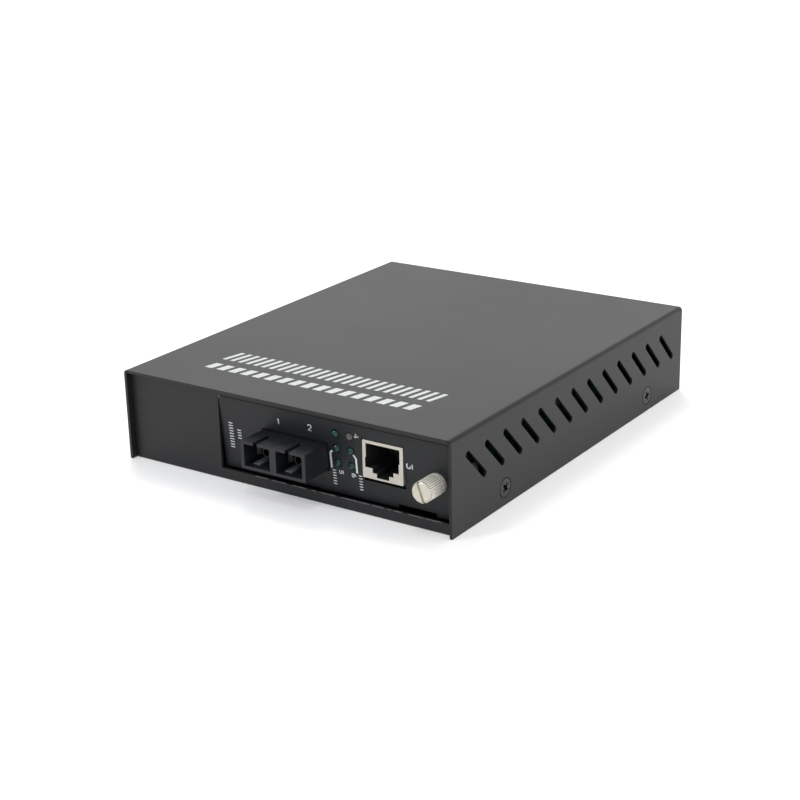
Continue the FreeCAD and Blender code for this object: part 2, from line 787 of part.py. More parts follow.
def make_faceplate():
    """Leaning sheet plate with its ports, lamp holes, bottom notch and two lugs for the board."""
    body = new_body("card_faceplate")
    left = "bay_left + plate_gap"
    right = "bay_right - plate_gap"
    depth = "plate_thick / cos(plate_lean)"
    section = new_sketch(body, "YZ", left)
    outline(section, [
        (plate_face(PLATE_LOW), PLATE_LOW), (plate_face(PLATE_TOP), PLATE_TOP),
        (plate_face(PLATE_TOP) + " + " + depth, PLATE_TOP),
        (plate_face(PLATE_LOW) + " + " + depth, PLATE_LOW),
    ])
    pad(section, "(%s) - (%s)" % (right, left))
    for middle in ("lug_left", "lug_right"):
        lug = new_sketch(body, "YZ", middle)
        rectangle(lug, plate_face(BOARD_LOW) + " + plate_thick / 2", BOARD_LOW + " - lug_thick",
                  "%s + lug_back" % FRONT, BOARD_LOW)
        pad(lug, "lug_width", both=True)
    taps = new_sketch(body, "XY", BOARD_LOW)
    for middle in ("lug_left", "lug_right"):
        circle(taps, middle, "%s + lug_screw_back" % FRONT, "lug_screw + screw_gap")
    pocket(taps, "lug_thick", towards=-1)

    ports = new_sketch(body, "XZ", FRONT + " - plate_thick")
    half = "(sc_width / 2 + port_gap)"
    rectangle(ports, "sc_middle - " + half, "sc_bottom - port_gap",
              "sc_middle + " + half, "sc_bottom + sc_height + port_gap")
    rectangle(ports, "jack_left - port_gap", "board_top - port_gap",
              "jack_left + jack_width + port_gap", "jack_bottom + jack_height + port_gap")
    for column in range(LAMP_COLUMNS):
        for level in range(LAMP_LEVELS):
            circle(ports, "lamp_left + %d * lamp_pitch_x" % column,
                   "lamp_top - %d * lamp_pitch_z" % level, "lamp_radius + lamp_gap")
    circle(ports, "thumb_x", "thumb_z", "collar_barrel + screw_gap")
    rectangle(ports, "notch_left", PLATE_LOW + " - plate_thick", "notch_left + notch_width",
              PLATE_LOW + " + notch_height")
    pocket(ports, "plate_cut")


def make_card_board():
    """Circuit board with the two holes for the lug screws."""
    body = new_body("card_board")
    face = new_sketch(body, "XY", BOARD_LOW)
    rectangle(face, "board_left", BOARD_FRONT, "board_right", BOARD_BACK)
    for middle in ("lug_left", "lug_right"):
        circle(face, middle, "%s + lug_screw_back" % FRONT, "lug_screw + 3 * screw_gap")
    pad(face, "board_thick")
    centres = [(middle, "%s + lug_screw_back" % FRONT) for middle in ("lug_left", "lug_right")]
    pan_screws("plate_screws", centres, "board_top", "board_thick + lug_thick + lug_screw_past", "lug_screw")


def make_sc_receptacle():
    """Duplex SC housing: two keyed ports, with latch arms and an alignment sleeve in each."""
    front = "%s - sc_reach" % plate_face("sc_bottom + sc_height / 2")
    back = BOARD_FRONT + " + sc_behind - board_front / 2"
    middle_z = "sc_bottom + sc_height / 2"
    body = new_body("sc_receptacle", "sc_middle", front, middle_z)
    length = "(%s) - (%s)" % (back, front)
    face = new_sketch(body, "XZ")
    rectangle(face, "-sc_width / 2", "-sc_height / 2", "sc_width / 2", "sc_height / 2")
    shell = pad(face, length)
    lengthwise = straight_edges(shell, Y, lambda p: True)
    dress("Fillet", shell, lengthwise, "sc_round")
    ports = new_sketch(body, "XZ")
    keys = new_sketch(body, "XZ")
    for side in "-+":
        middle = "%s sc_pitch / 2" % side
        rectangle(ports, middle + " - sc_port_width / 2", "-sc_port_height / 2",
                  middle + " + sc_port_width / 2", "sc_port_height / 2")
        key = middle + " + sc_key_offset"
        rectangle(keys, key + " - sc_key_width / 2", "0", key + " + sc_key_width / 2", "sc_height")
    pocket(ports, "sc_port_depth")
    pocket(keys, "sc_key_length")

    sleeves = new_body("sc_sleeves", "sc_middle", front, middle_z)
    tubes = new_sketch(sleeves, "XZ", "sc_port_depth")
    for side in "-+":
        circle(tubes, "%s sc_pitch / 2" % side, "0", "sleeve_radius")
        circle(tubes, "%s sc_pitch / 2" % side, "0", "sleeve_bore")
    pad(tubes, "sleeve_length", towards=-1)

    latches = new_body("sc_latches", "sc_middle", front, middle_z)
    arms = new_sketch(latches, "XY")
    for side in "-+":
        for hand in (-1, 1):
            wall = "(%s sc_pitch / 2 + %d * sc_port_width / 2)" % (side, hand)
            tip = "(sc_port_depth - latch_length)"
            outline(arms, [
                (wall, "sc_port_depth"), (wall, tip + " + latch_hook"),
                ("%s - %d * latch_thick" % (wall, hand), tip),
                ("%s - %d * (latch_thick + latch_hook)" % (wall, hand), tip + " + latch_hook"),
                ("%s - %d * latch_thick" % (wall, hand), tip + " + 2 * latch_hook"),
                ("%s - %d * latch_thick" % (wall, hand), "sc_port_depth"),
            ])
    pad(arms, "latch_height", both=True)

    can_body = block("transceiver_body", "sc_middle - sc_width / 2", back, "board_top",
                     "sc_middle + sc_width / 2", back + " + transceiver_depth",
                     "board_top + transceiver_height")
    upright = straight_edges(can_body.Tip, Z, lambda p: True)
    dress("Fillet", can_body.Tip, upright, "transceiver_round")


def stepped_port(sketch, spread="0"):
    """The outline of a plug opening with its latch channel at the bottom."""
    middle = "jack_left + jack_width / 2"
    port = "(jack_port_width / 2 + %s)" % spread
    step = "(jack_step_width / 2 + %s)" % spread
    latch = "(jack_latch_width / 2 + %s)" % spread
    right = [
        (port, "jack_port_top + %s" % spread), (port, "jack_tab"),
        (port + " - jack_tab_width", "jack_tab"),
        (port + " - jack_tab_width", "jack_shoulder - %s" % spread),
        (step, "jack_shoulder - %s" % spread), (step, "jack_step - %s" % spread),
        (latch, "jack_step - %s" % spread), (latch, "jack_latch - %s / 2" % spread),
    ]
    points = [("%s + %s" % (middle, x), z) for x, z in right]
    points += [("%s - %s" % (middle, x), z) for x, z in reversed(right)]
    return outline(sketch, points)


def make_jack():
    """RJ45 jack: folded shell, moulded insert and eight slanting contacts."""
    front = FRONT + " + jack_front"
    right = "jack_left + jack_width"
    top = "jack_bottom + jack_height"
    shell = new_body("jack_shell")
    face = new_sketch(shell, "XZ", front)
    rectangle(face, "jack_left", "jack_bottom", right, top)
    folded = pad(face, "jack_depth")
    edges = straight_edges(folded, Y, lambda p: True)
    dress("Fillet", folded, edges, "jack_sheet")
    inside = new_sketch(shell, "XZ", front + " + jack_sheet")
    rectangle(inside, "jack_left + jack_sheet", "jack_bottom - jack_sheet", right + " - jack_sheet",
              top + " - jack_sheet")
    pocket(inside, "jack_depth")
    mouth = new_sketch(shell, "XZ", front)
    stepped_port(mouth)
    pocket(mouth, "jack_sheet")

    insert = new_body("jack_insert")
    gap = "(jack_sheet + jack_gap)"
    face = new_sketch(insert, "XZ", front + " + jack_sheet + jack_gap")
    rectangle(face, "jack_left + " + gap, "board_top", right + " - " + gap, top + " - " + gap)
    pad(face, "jack_depth - 2 * jack_sheet")
    foot = new_sketch(insert, "XZ", front)
    rectangle(foot, "jack_left", "board_top - jack_sheet", right, "jack_bottom + jack_sheet + jack_gap / 2")
    pocket(foot, "jack_foot_back")
    hollow = new_sketch(insert, "XZ", front)
    stepped_port(hollow, "insert_gap")
    pocket(hollow, "jack_port_depth + jack_sheet")

    contacts = new_body("jack_contacts")
    start = front + " + contact_start"
    ceiling = "jack_port_top + insert_gap"
    for index in range(CONTACTS):
        away = index - (CONTACTS - 1) / 2
        wire = new_sketch(contacts, "YZ", "jack_left + jack_width / 2 + %.1f * contact_pitch" % away)
        outline(wire, [
            (start, ceiling), (start + " + contact_run", ceiling + " - contact_drop"),
            (start + " + contact_run", ceiling + " - contact_drop - contact_thick"),
            (start + " - 2 * contact_thick", ceiling),
        ])
        pad(wire, "contact_width", both=True)


def make_lamps():
    """Domed indicator lamps, five green and one clear, in a block behind the plate."""
    holder_face = FRONT + " + holder_front"
    left = "lamp_left - holder_margin"
    right = "lamp_left + lamp_pitch_x + holder_margin"
    holder = block("lamp_holder", left, holder_face, "board_top", right,
                   holder_face + " + holder_depth", "lamp_top + holder_margin")
    back = straight_edges(holder.Tip, X, lambda p: p.z > SIZES["lamp_top"])
    dress("Chamfer", holder.Tip, back, "holder_bevel")
    for label, clear in (("lamps_green", False), ("lamp_clear", True)):
        body = new_body(label)
        for level in range(LAMP_LEVELS):
            height = "lamp_top - %d * lamp_pitch_z" % level
            columns = [column for column in range(LAMP_COLUMNS) if (level == 0 and column == 1) == clear]
            if not columns:
                continue
            tip = plate_face(height) + " - lamp_reach"
            face = new_sketch(body, "XZ", holder_face)
            for column in columns:
                circle(face, "lamp_left + %d * lamp_pitch_x" % column, height, "lamp_radius")
            lens = pad(face, "(%s) - (%s)" % (holder_face, tip), towards=-1)
            doc.recompute()
            nearest = min(edge.Curve.Center.y for edge in lens.Shape.Edges
                          if isinstance(edge.Curve, Part.Circle) and near_level(edge, level))
            rims = round_edges(lens, lambda c, r, n=nearest, k=level: near(c.y, n) and at_level(c.z, k))
            dress("Fillet", lens, rims, "0.95 * lamp_radius")


def at_level(z, level):
    """Whether a height belongs to one row of lamps."""
    return near(z, SIZES["lamp_top"] - level * SIZES["lamp_pitch_z"])


def near_level(edge, level):
    """Whether a circular edge belongs to one row of lamps."""
    return at_level(edge.Curve.Center.z, level)


def make_thumbscrew():
    """Knurled captive screw and the collar that holds it in the plate."""
    body = new_body("thumbscrew", "thumb_x", FRONT, "thumb_z")
    front = "-knob_front"
    face = new_sketch(body, "XZ", front)
    circle(face, "0", "0", "knob_radius")
    knob = pad(face, "knob_length")
    ends = round_edges(knob, lambda c, r: True)
    dress("Chamfer", knob, ends, "knob_chamfer")
    groove = new_sketch(body, "XZ", front + " + knob_rim")
    outline(groove, [
        ("-knurl_depth", "knob_radius + knurl_depth / 10"), ("knurl_depth", "knob_radius + knurl_depth / 10"),
        ("0", "knob_radius - knurl_depth"),
    ])
    cut = pocket(groove, "knob_length - knob_rim - knurl_tail")
    knurl = body.newObject("PartDesign::PolarPattern", "knurl")
    knurl.Originals = [cut]
    knurl.Axis = (datum(body, "Y_Axis"), [""])
    knurl.Angle = 360
    bind(knurl, {"Occurrences": "knurl_count"})
    body.Tip = knurl
    slot = new_sketch(body, "XZ", front)
    half = "driver_width / 2"
    reach = "2 * knob_radius"
    outline(slot, [turned(a, b, "driver_turn") for a, b in (
        ("-" + half, "-" + reach), (half, "-" + reach), (half, reach), ("-" + half, reach))])
    pocket(slot, "driver_depth")
    shank = new_sketch(body, "XZ", front + " + knob_length")
    circle(shank, "0", "0", "thumb_shank")
    stem = pad(shank, "thumb_length")
    doc.recompute()
    tip = stem.Shape.BoundBox.YMax
    dress("Chamfer", stem, round_edges(stem, lambda c, r: near(c.y, tip)), "thumb_bevel")

    collar = new_body("thumbscrew_collar")
    near_face = "(%s - knob_front + knob_length + collar_seat)" % FRONT
    ring = new_sketch(collar, "XZ", near_face)
    circle(ring, "thumb_x", "thumb_z", "collar_flange")
    pad(ring, "collar_blank")
    trim = new_sketch(collar, "YZ", "thumb_x")
    high = "(thumb_z + 2 * collar_flange)"
    low = "(thumb_z - 2 * collar_flange)"
    outline(trim, [
        (plate_face(low), low), (plate_face(high), high),
        (plate_face(high) + " + plate_cut", high), (plate_face(low) + " + plate_cut", low),
    ])
    pocket(trim, "3 * collar_flange", both=True)
    barrel = new_sketch(collar, "XZ", near_face)
    circle(barrel, "thumb_x", "thumb_z", "collar_barrel")
    pad(barrel, "%s + collar_back - %s" % (FRONT, near_face))
    bore = new_sketch(collar, "XZ", near_face)
    circle(bore, "thumb_x", "thumb_z", "thumb_shank + thread_gap")
    pocket(bore, "3 * collar_back")


def make_card_parts():
    """Components on the card board, behind the ports."""
    for label in CARD_BLOCKS:
        y = "%s + %s_y" % (BOARD_FRONT, label)
        body = block(label, "{0}_x - {0}_width / 2".format(label), "%s - %s_depth / 2" % (y, label),
                     "board_top", "{0}_x + {0}_width / 2".format(label),
                     "%s + %s_depth / 2" % (y, label), "board_top + %s_height" % label)
        doc.recompute()
        highest = body.Shape.BoundBox.ZMax
        ring = [name for axis in (X, Y)
                for name in straight_edges(body.Tip, axis, lambda p, high=highest: near(p.z, high))]
        dress("Chamfer", body.Tip, ring, label + "_bevel")
    for label, (middles, values) in CARD_CANS.items():
        centres = [("%s_x_%s" % (label, letter), "%s + %s_y_%s" % (BOARD_FRONT, label, letter))
                   for letter, middle in zip(LETTERS, middles)]
        can(label, centres, "board_top", label + "_radius", label + "_height", label + "_rim")

    plug = block("card_power_plug", "socket_x - socket_width / 2", BOARD_BACK + " - plug_depth",
                 "board_top", "socket_x + socket_width / 2", BOARD_BACK, "board_top + socket_height")
    holes = new_sketch(plug, "XZ", BOARD_BACK)
    pins = new_body("card_power_pins")
    rods = new_sketch(pins, "XZ", BOARD_BACK + " + pin_reach")
    for index in range(POWER_PINS):
        x = "socket_x + %d * pin_pitch" % (index - POWER_PINS // 2)
        circle(holes, x, "board_top + socket_height / 2", "pin_radius")
        circle(rods, x, "board_top + socket_height / 2", "pin_radius")
    pocket(holes, "plug_depth / 2", towards=-1)
    pad(rods, "pin_reach + plug_depth / 2", towards=-1)


# ---------------------------------------------------------------- backplane

def make_backplane():
    """Socket for the card's power plug, on a small upright board held by a bracket on the floor."""
    height = "(board_top + socket_height / 2)"
    socket = block("backplane_socket", "socket_x - socket_width / 2", SOCKET_FRONT, "board_top",
                   "socket_x + socket_width / 2", BACKPLANE_FRONT, "board_top + socket_height")
    holes = new_sketch(socket, "XZ", SOCKET_FRONT)
    for index in range(POWER_PINS):
        x = "socket_x + %d * pin_pitch" % (index - POWER_PINS // 2)
        circle(holes, x, height, "pin_radius + pin_gap")
    pocket(holes, "pin_reach + pin_gap")

    ends = ("backplane_left + backplane_screw_left",
            "backplane_left + backplane_width - backplane_screw_right")
    board = new_body("backplane_board")
    face = new_sketch(board, "XZ", BACKPLANE_FRONT)
    rectangle(face, "backplane_left", "backplane_bottom", "backplane_left + backplane_width",
              "backplane_bottom + backplane_height")
    for x in ends:
        circle(face, x, "backplane_screw_z", "lug_screw + 3 * screw_gap")
    pad(face, "board_thick")

    bracket = new_body("backplane_bracket")
    upright = new_sketch(bracket, "XZ", BACKPLANE_BACK)
    rectangle(upright, "backplane_left", "sheet", "backplane_left + backplane_width",
              "backplane_bottom + backplane_height")
    for x in ends:
        circle(upright, x, "backplane_screw_z", "lug_screw + screw_gap")
    pad(upright, "sheet")
    foot = new_sketch(bracket, "XY", "sheet")
    rectangle(foot, "backplane_left", BACKPLANE_BACK, "backplane_left + backplane_width",
              BACKPLANE_BACK + " + bracket_foot")
    folded = pad(foot, "sheet")
    doc.recompute()
    corner = bracket.Shape.BoundBox
    fold = straight_edges(folded, X, lambda p: near(p.z, corner.ZMin) and near(p.y, corner.YMin))
    dress("Fillet", folded, fold, "bracket_round")

    screws = new_body("backplane_screws")
    heads = new_sketch(screws, "XZ", BACKPLANE_FRONT)
    shanks = new_sketch(screws, "XZ", BACKPLANE_FRONT)
    for x in ends:
        circle(heads, x, "backplane_screw_z", "pan_radius")
        circle(shanks, x, "backplane_screw_z", "lug_screw")
    raised = pad(heads, "pan_height", towards=-1)
    doc.recompute()
    nearest = raised.Shape.BoundBox.YMin
    dress("Chamfer", raised, round_edges(raised, lambda c, r: near(c.y, nearest)), "pan_height / 3")
    pad(shanks, "board_thick + sheet + backplane_screw_past")


# ---------------------------------------------------------------- power supply

def make_supply():
    """Supply board on standoffs, with its transformer, capacitors, fuse, switch and headers."""
    right = "supply_left + supply_width"
    back = "supply_front + supply_depth"
    centres = [(x, y) for x in ("supply_left + standoff_inset", right + " - standoff_inset")
               for y in ("supply_front + standoff_inset", back + " - standoff_inset")]
    board = new_body("supply_board")
    face = new_sketch(board, "XY", "sheet + standoff_height")
    rectangle(face, "supply_left", "supply_front", right, back)
    for x, y in centres:
        circle(face, x, y, "lug_screw + 3 * screw_gap")
    pad(face, "board_thick")
    posts = new_body("supply_standoffs")
    rings = new_sketch(posts, "XY", "sheet")
    for x, y in centres:
        circle(rings, x, y, "standoff_radius")
        circle(rings, x, y, "lug_screw + screw_gap")
    pad(rings, "standoff_height")
    pan_screws("supply_screws", centres, SUPPLY_TOP, "board_thick + standoff_screw_past", "lug_screw")

    def around(label, half_x, half_y, low, high):
        return block(label, "transformer_x - " + half_x, "transformer_y - " + half_y, low,
                     "transformer_x + " + half_x, "transformer_y + " + half_y, high)

    base_top = SUPPLY_TOP + " + base_height"
    around("transformer_base", "core_width / 2", "(core_depth / 2 + winding_bulge)", SUPPLY_TOP, base_top)
    core = new_body("transformer_core")
    legs = new_sketch(core, "XZ", "transformer_y")
    rectangle(legs, "transformer_x - core_width / 2", base_top, "transformer_x + core_width / 2",
              base_top + " + core_height")
    for side in "-+":
        a = "transformer_x %s core_leg / 2" % side
        b = "transformer_x %s (core_width / 2 - core_edge)" % side
        rectangle(legs, a, base_top + " + core_yoke", b, base_top + " + core_height - core_yoke")
    pad(legs, "core_depth", both=True)
    winding = new_body("transformer_winding")
    coil = new_sketch(winding, "XY", base_top + " + core_yoke + winding_gap")
    for x, y in (("core_width / 2 - core_edge - winding_gap", "core_depth / 2 + winding_bulge"),
                 ("core_leg / 2 + winding_gap", "core_depth / 2 + winding_gap")):
        rectangle(coil, "transformer_x - (%s)" % x, "transformer_y - (%s)" % y,
                  "transformer_x + (%s)" % x, "transformer_y + (%s)" % y)
    wound = pad(coil, "core_height - 2 * core_yoke - 2 * winding_gap")
    outer = SIZES["core_width"] / 2 - SIZES["core_edge"] - SIZES["winding_gap"]
    corners = straight_edges(wound, Z, lambda p: near(abs(p.x - SIZES["transformer_x"]), outer))
    dress("Fillet", wound, corners, "winding_round")

    can("bulk_capacitor", [("bulk_x", "bulk_y")], SUPPLY_TOP, "bulk_radius", "bulk_height", "bulk_rim")
    outputs = [("output_x", "output_y"), ("output_x", "output_y + output_pitch")]
    can("output_capacitors", outputs, SUPPLY_TOP, "output_radius", "output_height")

    axis_z = SUPPLY_TOP + " + fuse_radius + clip_lift"
    clips = new_body("fuse_clips")
    tube = new_body("fuse")
    glass = new_sketch(tube, "XZ", "fuse_y")
    circle(glass, "fuse_x", axis_z, "fuse_radius")
    pad(glass, "fuse_length", both=True)
    for side in (-1, 1):
        cradle = new_sketch(clips, "XZ", "fuse_y + %d * (fuse_length - clip_length) / 2" % side)
        rectangle(cradle, "fuse_x - fuse_radius - clip_wall", SUPPLY_TOP,
                  "fuse_x + fuse_radius + clip_wall", axis_z)
        pad(cradle, "clip_length", both=True)
    seat = new_sketch(clips, "XZ", "fuse_y")
    circle(seat, "fuse_x", axis_z, "fuse_radius + clip_gap")
    pocket(seat, "2 * fuse_length", both=True)

    heatsink = new_body("supply_heatsink")
    fins = new_sketch(heatsink, "XY", SUPPLY_TOP)
    fin_left = "supply_left + heatsink_inset"
    fin_front = "supply_front + heatsink_start"
    face = fin_left + " + heatsink_thick"
    valley = face + " - heatsink_web"
    span = "((fin_count - 1) * fin_pitch + fin_thick)"
    points = [(face, fin_front), (face, fin_front + " + " + span)]
    for index in range(SIZES["fin_count"]):
        start = "%s + %s - %d * fin_pitch" % (fin_front, span, index)
        points += [(fin_left, start), (fin_left, start + " - fin_thick")]
        if index < SIZES["fin_count"] - 1:
            points += [(valley, start + " - fin_thick"), (valley, start + " - fin_pitch")]
    outline(fins, points)
    pad(fins, "heatsink_height")
    middle = "%s + %s / 2" % (fin_front, span)
    block("switch_transistor", face, middle + " - switch_depth / 2", SUPPLY_TOP,
          face + " + switch_width", middle + " + switch_depth / 2", SUPPLY_TOP + " + switch_height")

    headers = (("mains_header", "mains_header_x", "way_offset", "0"),
               ("low_voltage_header", "low_header_x", "0", "way_offset"))
    for label, x, aside, above in headers:
        face = back + " - header_setback"
        header = block(label, x + " - header_width / 2", face + " - header_depth", SUPPLY_TOP,
                       x + " + header_width / 2", face, SUPPLY_TOP + " + header_height")
        ways = new_sketch(header, "XZ", face)
        for side in "-+":
            circle(ways, "%s %s %s" % (x, side, aside),
                   "%s + header_height / 2 %s %s" % (SUPPLY_TOP, side, above), "way_radius")
        pocket(ways, "header_hole", towards=-1)


# ---------------------------------------------------------------- mains inlet

def make_inlet():
    """Flanged mains inlet with three blades, held by two screws and nuts."""
    body = new_body("mains_inlet", "inlet_x", REAR, "inlet_z")
    face = new_sketch(body, "XZ")
    wide = "inlet_flange_width / 2"
    high = "inlet_flange_height / 2"
    tip = "inlet_flange_tip / 2"
    square = "(inlet_body_width / 2 + inlet_shoulder)"
    outline(face, [
        ("-" + wide, "-" + tip), ("-" + square, "-" + high), (square, "-" + high), (wide, "-" + tip),
        (wide, tip), (square, high), ("-" + square, high), ("-" + wide, tip),
    ])
    for side in "-+":
        circle(face, "%s inlet_screw_pitch / 2" % side, "0", "screw_shank + screw_gap")
    flange = pad(face, "inlet_flange_thick")
    tips = straight_edges(flange, Y, lambda p: True)
    dress("Fillet", flange, tips, "inlet_flange_round")
    box = new_sketch(body, "XZ", "0")
    rectangle(box, "-inlet_body_width / 2", "-inlet_body_height / 2",
              "inlet_body_width / 2", "inlet_body_height / 2")
    pad(box, "inlet_body_depth", towards=-1)
    mouth = new_sketch(body, "XZ", "inlet_flange_thick")
    across = "inlet_mouth_width / 2"
    up = "inlet_mouth_height / 2"
    outline(mouth, [
        ("-" + across, "-" + up), (across, "-" + up), (across, up + " - inlet_mouth_corner"),
        (across + " - inlet_mouth_corner", up), ("-%s + inlet_mouth_corner" % across, up),
        ("-" + across, up + " - inlet_mouth_corner"),
    ])
    pocket(mouth, "inlet_mouth_depth", towards=-1)

    floor = "inlet_flange_thick - inlet_mouth_depth"
    blades = new_body("inlet_blades", "inlet_x", REAR, "inlet_z")
    slots = new_sketch(body, "XZ", "0")
    pins = new_sketch(blades, "XZ", floor + " + inlet_pin_length")
    tabs = new_sketch(blades, "XZ", "-inlet_body_depth")
    for x, z in (("-inlet_pin_pitch / 2", "-inlet_pin_drop"), ("inlet_pin_pitch / 2", "-inlet_pin_drop"),
                 ("0", "inlet_pin_rise - inlet_pin_drop")):
        for sketch, gap in ((pins, ""), (slots, " + inlet_pin_gap")):
            half = "(inlet_pin_width / 2%s)" % gap
            tall = "(inlet_pin_height / 2%s)" % gap
            rectangle(sketch, "%s - %s" % (x, half), "%s - %s" % (z, tall),
                      "%s + %s" % (x, half), "%s + %s" % (z, tall))
        rectangle(tabs, "%s - inlet_tab_height / 2" % x, "%s - inlet_tab_width / 2" % z,
                  "%s + inlet_tab_height / 2" % x, "%s + inlet_tab_width / 2" % z)
    pocket(slots, "2 * inlet_body_depth", towards=-1)
    pad(pins, "inlet_pin_length + inlet_body_depth - (inlet_mouth_depth - inlet_flange_thick)", towards=-1)
    pad(tabs, "inlet_tab_length", towards=-1)

    outside = "inlet_flange_thick"
    screws = new_body("inlet_screws", "inlet_x", REAR, "inlet_z")
    heads = new_sketch(screws, "XZ", outside)
    shanks = new_sketch(screws, "XZ", outside)
    nuts = new_body("inlet_nuts", "inlet_x", REAR, "inlet_z")
    flats = new_sketch(nuts, "XZ", "-sheet")
    for side in "-+":
        middle = "%s inlet_screw_pitch / 2" % side
        circle(heads, middle, "0", "inlet_head_radius")
        circle(shanks, middle, "0", "screw_shank")
        corner = "nut_flats / 2 / cos(30)"
        points = [turned(corner, "0", str(60 * k + 30)) for k in range(6)]
        hexagon = [("%s + %s" % (middle, x), y) for x, y in points]
        outline(flats, hexagon)
        circle(flats, middle, "0", "screw_shank + screw_gap")
    raised = pad(heads, "inlet_head_height")
    doc.recompute()
    farthest = raised.Shape.BoundBox.YMax
    dress("Chamfer", raised, round_edges(raised, lambda c, r: near(c.y, farthest)), "pan_height / 3")
    pad(shanks, "inlet_flange_thick + sheet + nut_height + inlet_screw_past", towards=-1)
    pad(flats, "nut_height", towards=-1)


# ---------------------------------------------------------------- internal leads

gauge = doc.addObject("App::FeaturePython", "gauge")
gauge.addProperty("App::PropertyFloat", "Reading")


def number(text):
    """The value of a rule, read through the sheet."""
    gauge.setExpression("Reading", rule(text))
    gauge.recompute()
    return gauge.Reading


def lead(points, radius, bend):
    """A round lead along straight runs joined by tangent arcs."""
    corners = [FreeCAD.Vector(*point) for point in points]
    edges = []
    start = corners[0]
    for before, corner, after in zip(corners, corners[1:], corners[2:]):
        back = (before - corner).normalize()
        onward = (after - corner).normalize()
        turn = math.pi - back.getAngle(onward)
        setback = bend * math.tan(turn / 2)
        first = corner + back * setback
        last = corner + onward * setback
        inward = (back + onward).normalize()
        centre = corner + inward * math.hypot(bend, setback)
        edges.append(Part.LineSegment(start, first).toShape())
        edges.append(Part.Arc(first, centre - inward * bend, last).toShape())
        start = last
    edges.append(Part.LineSegment(start, corners[-1]).toShape())
    direction = (corners[1] - corners[0]).normalize()
    ring = Part.Wire([Part.Circle(corners[0], direction, radius).toShape()])
    return Part.Wire(edges).makePipeShell([ring], True, False)


def add_leads(label, routes, radius, bend):
    """One sub-part that holds a separate solid for each lead."""
    group = doc.addObject("Part::Feature", label)
    group.Shape = Part.makeCompound([lead(points, radius, bend) for points in routes])
    group.Placement = FreeCAD.Placement()
    return keep(group, label)


def make_leads():
    """Leads from the inlet's blades to the supply, and from the supply to the backplane."""
    header_back = number("supply_front + supply_depth - header_setback")
    hole_floor = header_back - SIZES["header_hole"]
    header_z = number(SUPPLY_TOP + " + header_height / 2")
    tab_y = number(REAR + " - inlet_body_depth - inlet_tab_length")
    tab_z = number("inlet_z - inlet_pin_drop")
    board_y = number(BACKPLANE_FRONT)
    cross_y = (number(BOARD_BACK) + board_y) / 2
    low_start = SIZES["low_header_x"]
    low_end = number("backplane_left + lead_landing")
    mains = []
    low = []
    for side in (-1, 1):
        start = number("mains_header_x + %d * way_offset" % side)
        end = number("inlet_x + %d * inlet_pin_pitch / 2" % side)
        middle = tab_y - SIZES["lead_approach"] - side * SIZES["lead_pitch"] / 2
        mains.append([(start, hole_floor, header_z), (start, middle, header_z),
                      (end, middle, tab_z), (end, tab_y, tab_z)])
        level = header_z + side * SIZES["way_offset"]
        low.append([(low_start, hole_floor, level), (low_start, cross_y, level),
                    (low_end, cross_y, level), (low_end, board_y, level)])
    add_leads("mains_leads", mains, SIZES["mains_wire"], SIZES["wire_bend"])
    add_leads("low_voltage_leads", low, SIZES["low_wire"], SIZES["low_bend"])


make_top_cover()
make_base_chassis()
make_cover_screws()
make_card_guides()
make_latch_bracket()
make_faceplate()
make_card_board()
make_sc_receptacle()
make_jack()
make_lamps()
make_thumbscrew()
make_card_parts()
make_backplane()
make_supply()
make_inlet()
make_leads()

# ---------------------------------------------------------------- checks and files

doc.recompute()
for thing in doc.Objects:
    if "Invalid" in thing.State or "Error" in thing.State:
        raise RuntimeError("%s is %s" % (thing.Label, thing.State))
os.makedirs("parts", exist_ok=True)
for thing in parts:
    if thing.Shape.isNull() or not thing.Shape.isValid():
        raise RuntimeError("%s has no valid shape" % thing.Label)
    thing.Shape.exportStep("parts/%s.step" % thing.Label)
    print("%-22s %2d solids %9.1f mm3" % (thing.Label, len(thing.Shape.Solids), thing.Shape.Volume))
print(len(parts), "parts")
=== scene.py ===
"""Looks for the fibre media converter: materials, printed marks, board details, light and camera."""
import json
import math
import random

import bmesh
import bpy
from mathutils import Matrix, Vector


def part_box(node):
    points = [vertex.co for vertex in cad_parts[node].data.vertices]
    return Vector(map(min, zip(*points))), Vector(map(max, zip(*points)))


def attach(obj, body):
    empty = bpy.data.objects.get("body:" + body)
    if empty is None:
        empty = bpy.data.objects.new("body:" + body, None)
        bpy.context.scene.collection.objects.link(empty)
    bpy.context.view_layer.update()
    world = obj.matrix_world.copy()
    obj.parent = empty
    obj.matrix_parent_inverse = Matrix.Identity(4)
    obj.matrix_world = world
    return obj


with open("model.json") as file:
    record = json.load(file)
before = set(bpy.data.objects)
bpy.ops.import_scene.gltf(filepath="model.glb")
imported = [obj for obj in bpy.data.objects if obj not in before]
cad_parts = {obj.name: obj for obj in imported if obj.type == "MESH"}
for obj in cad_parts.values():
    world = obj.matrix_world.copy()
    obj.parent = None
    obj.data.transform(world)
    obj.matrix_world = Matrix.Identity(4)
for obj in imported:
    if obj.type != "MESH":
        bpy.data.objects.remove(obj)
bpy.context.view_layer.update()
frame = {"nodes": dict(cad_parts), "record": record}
NODES = frame["nodes"]
MM = 0.001

# ---------------------------------------------------------------- places taken from the frame

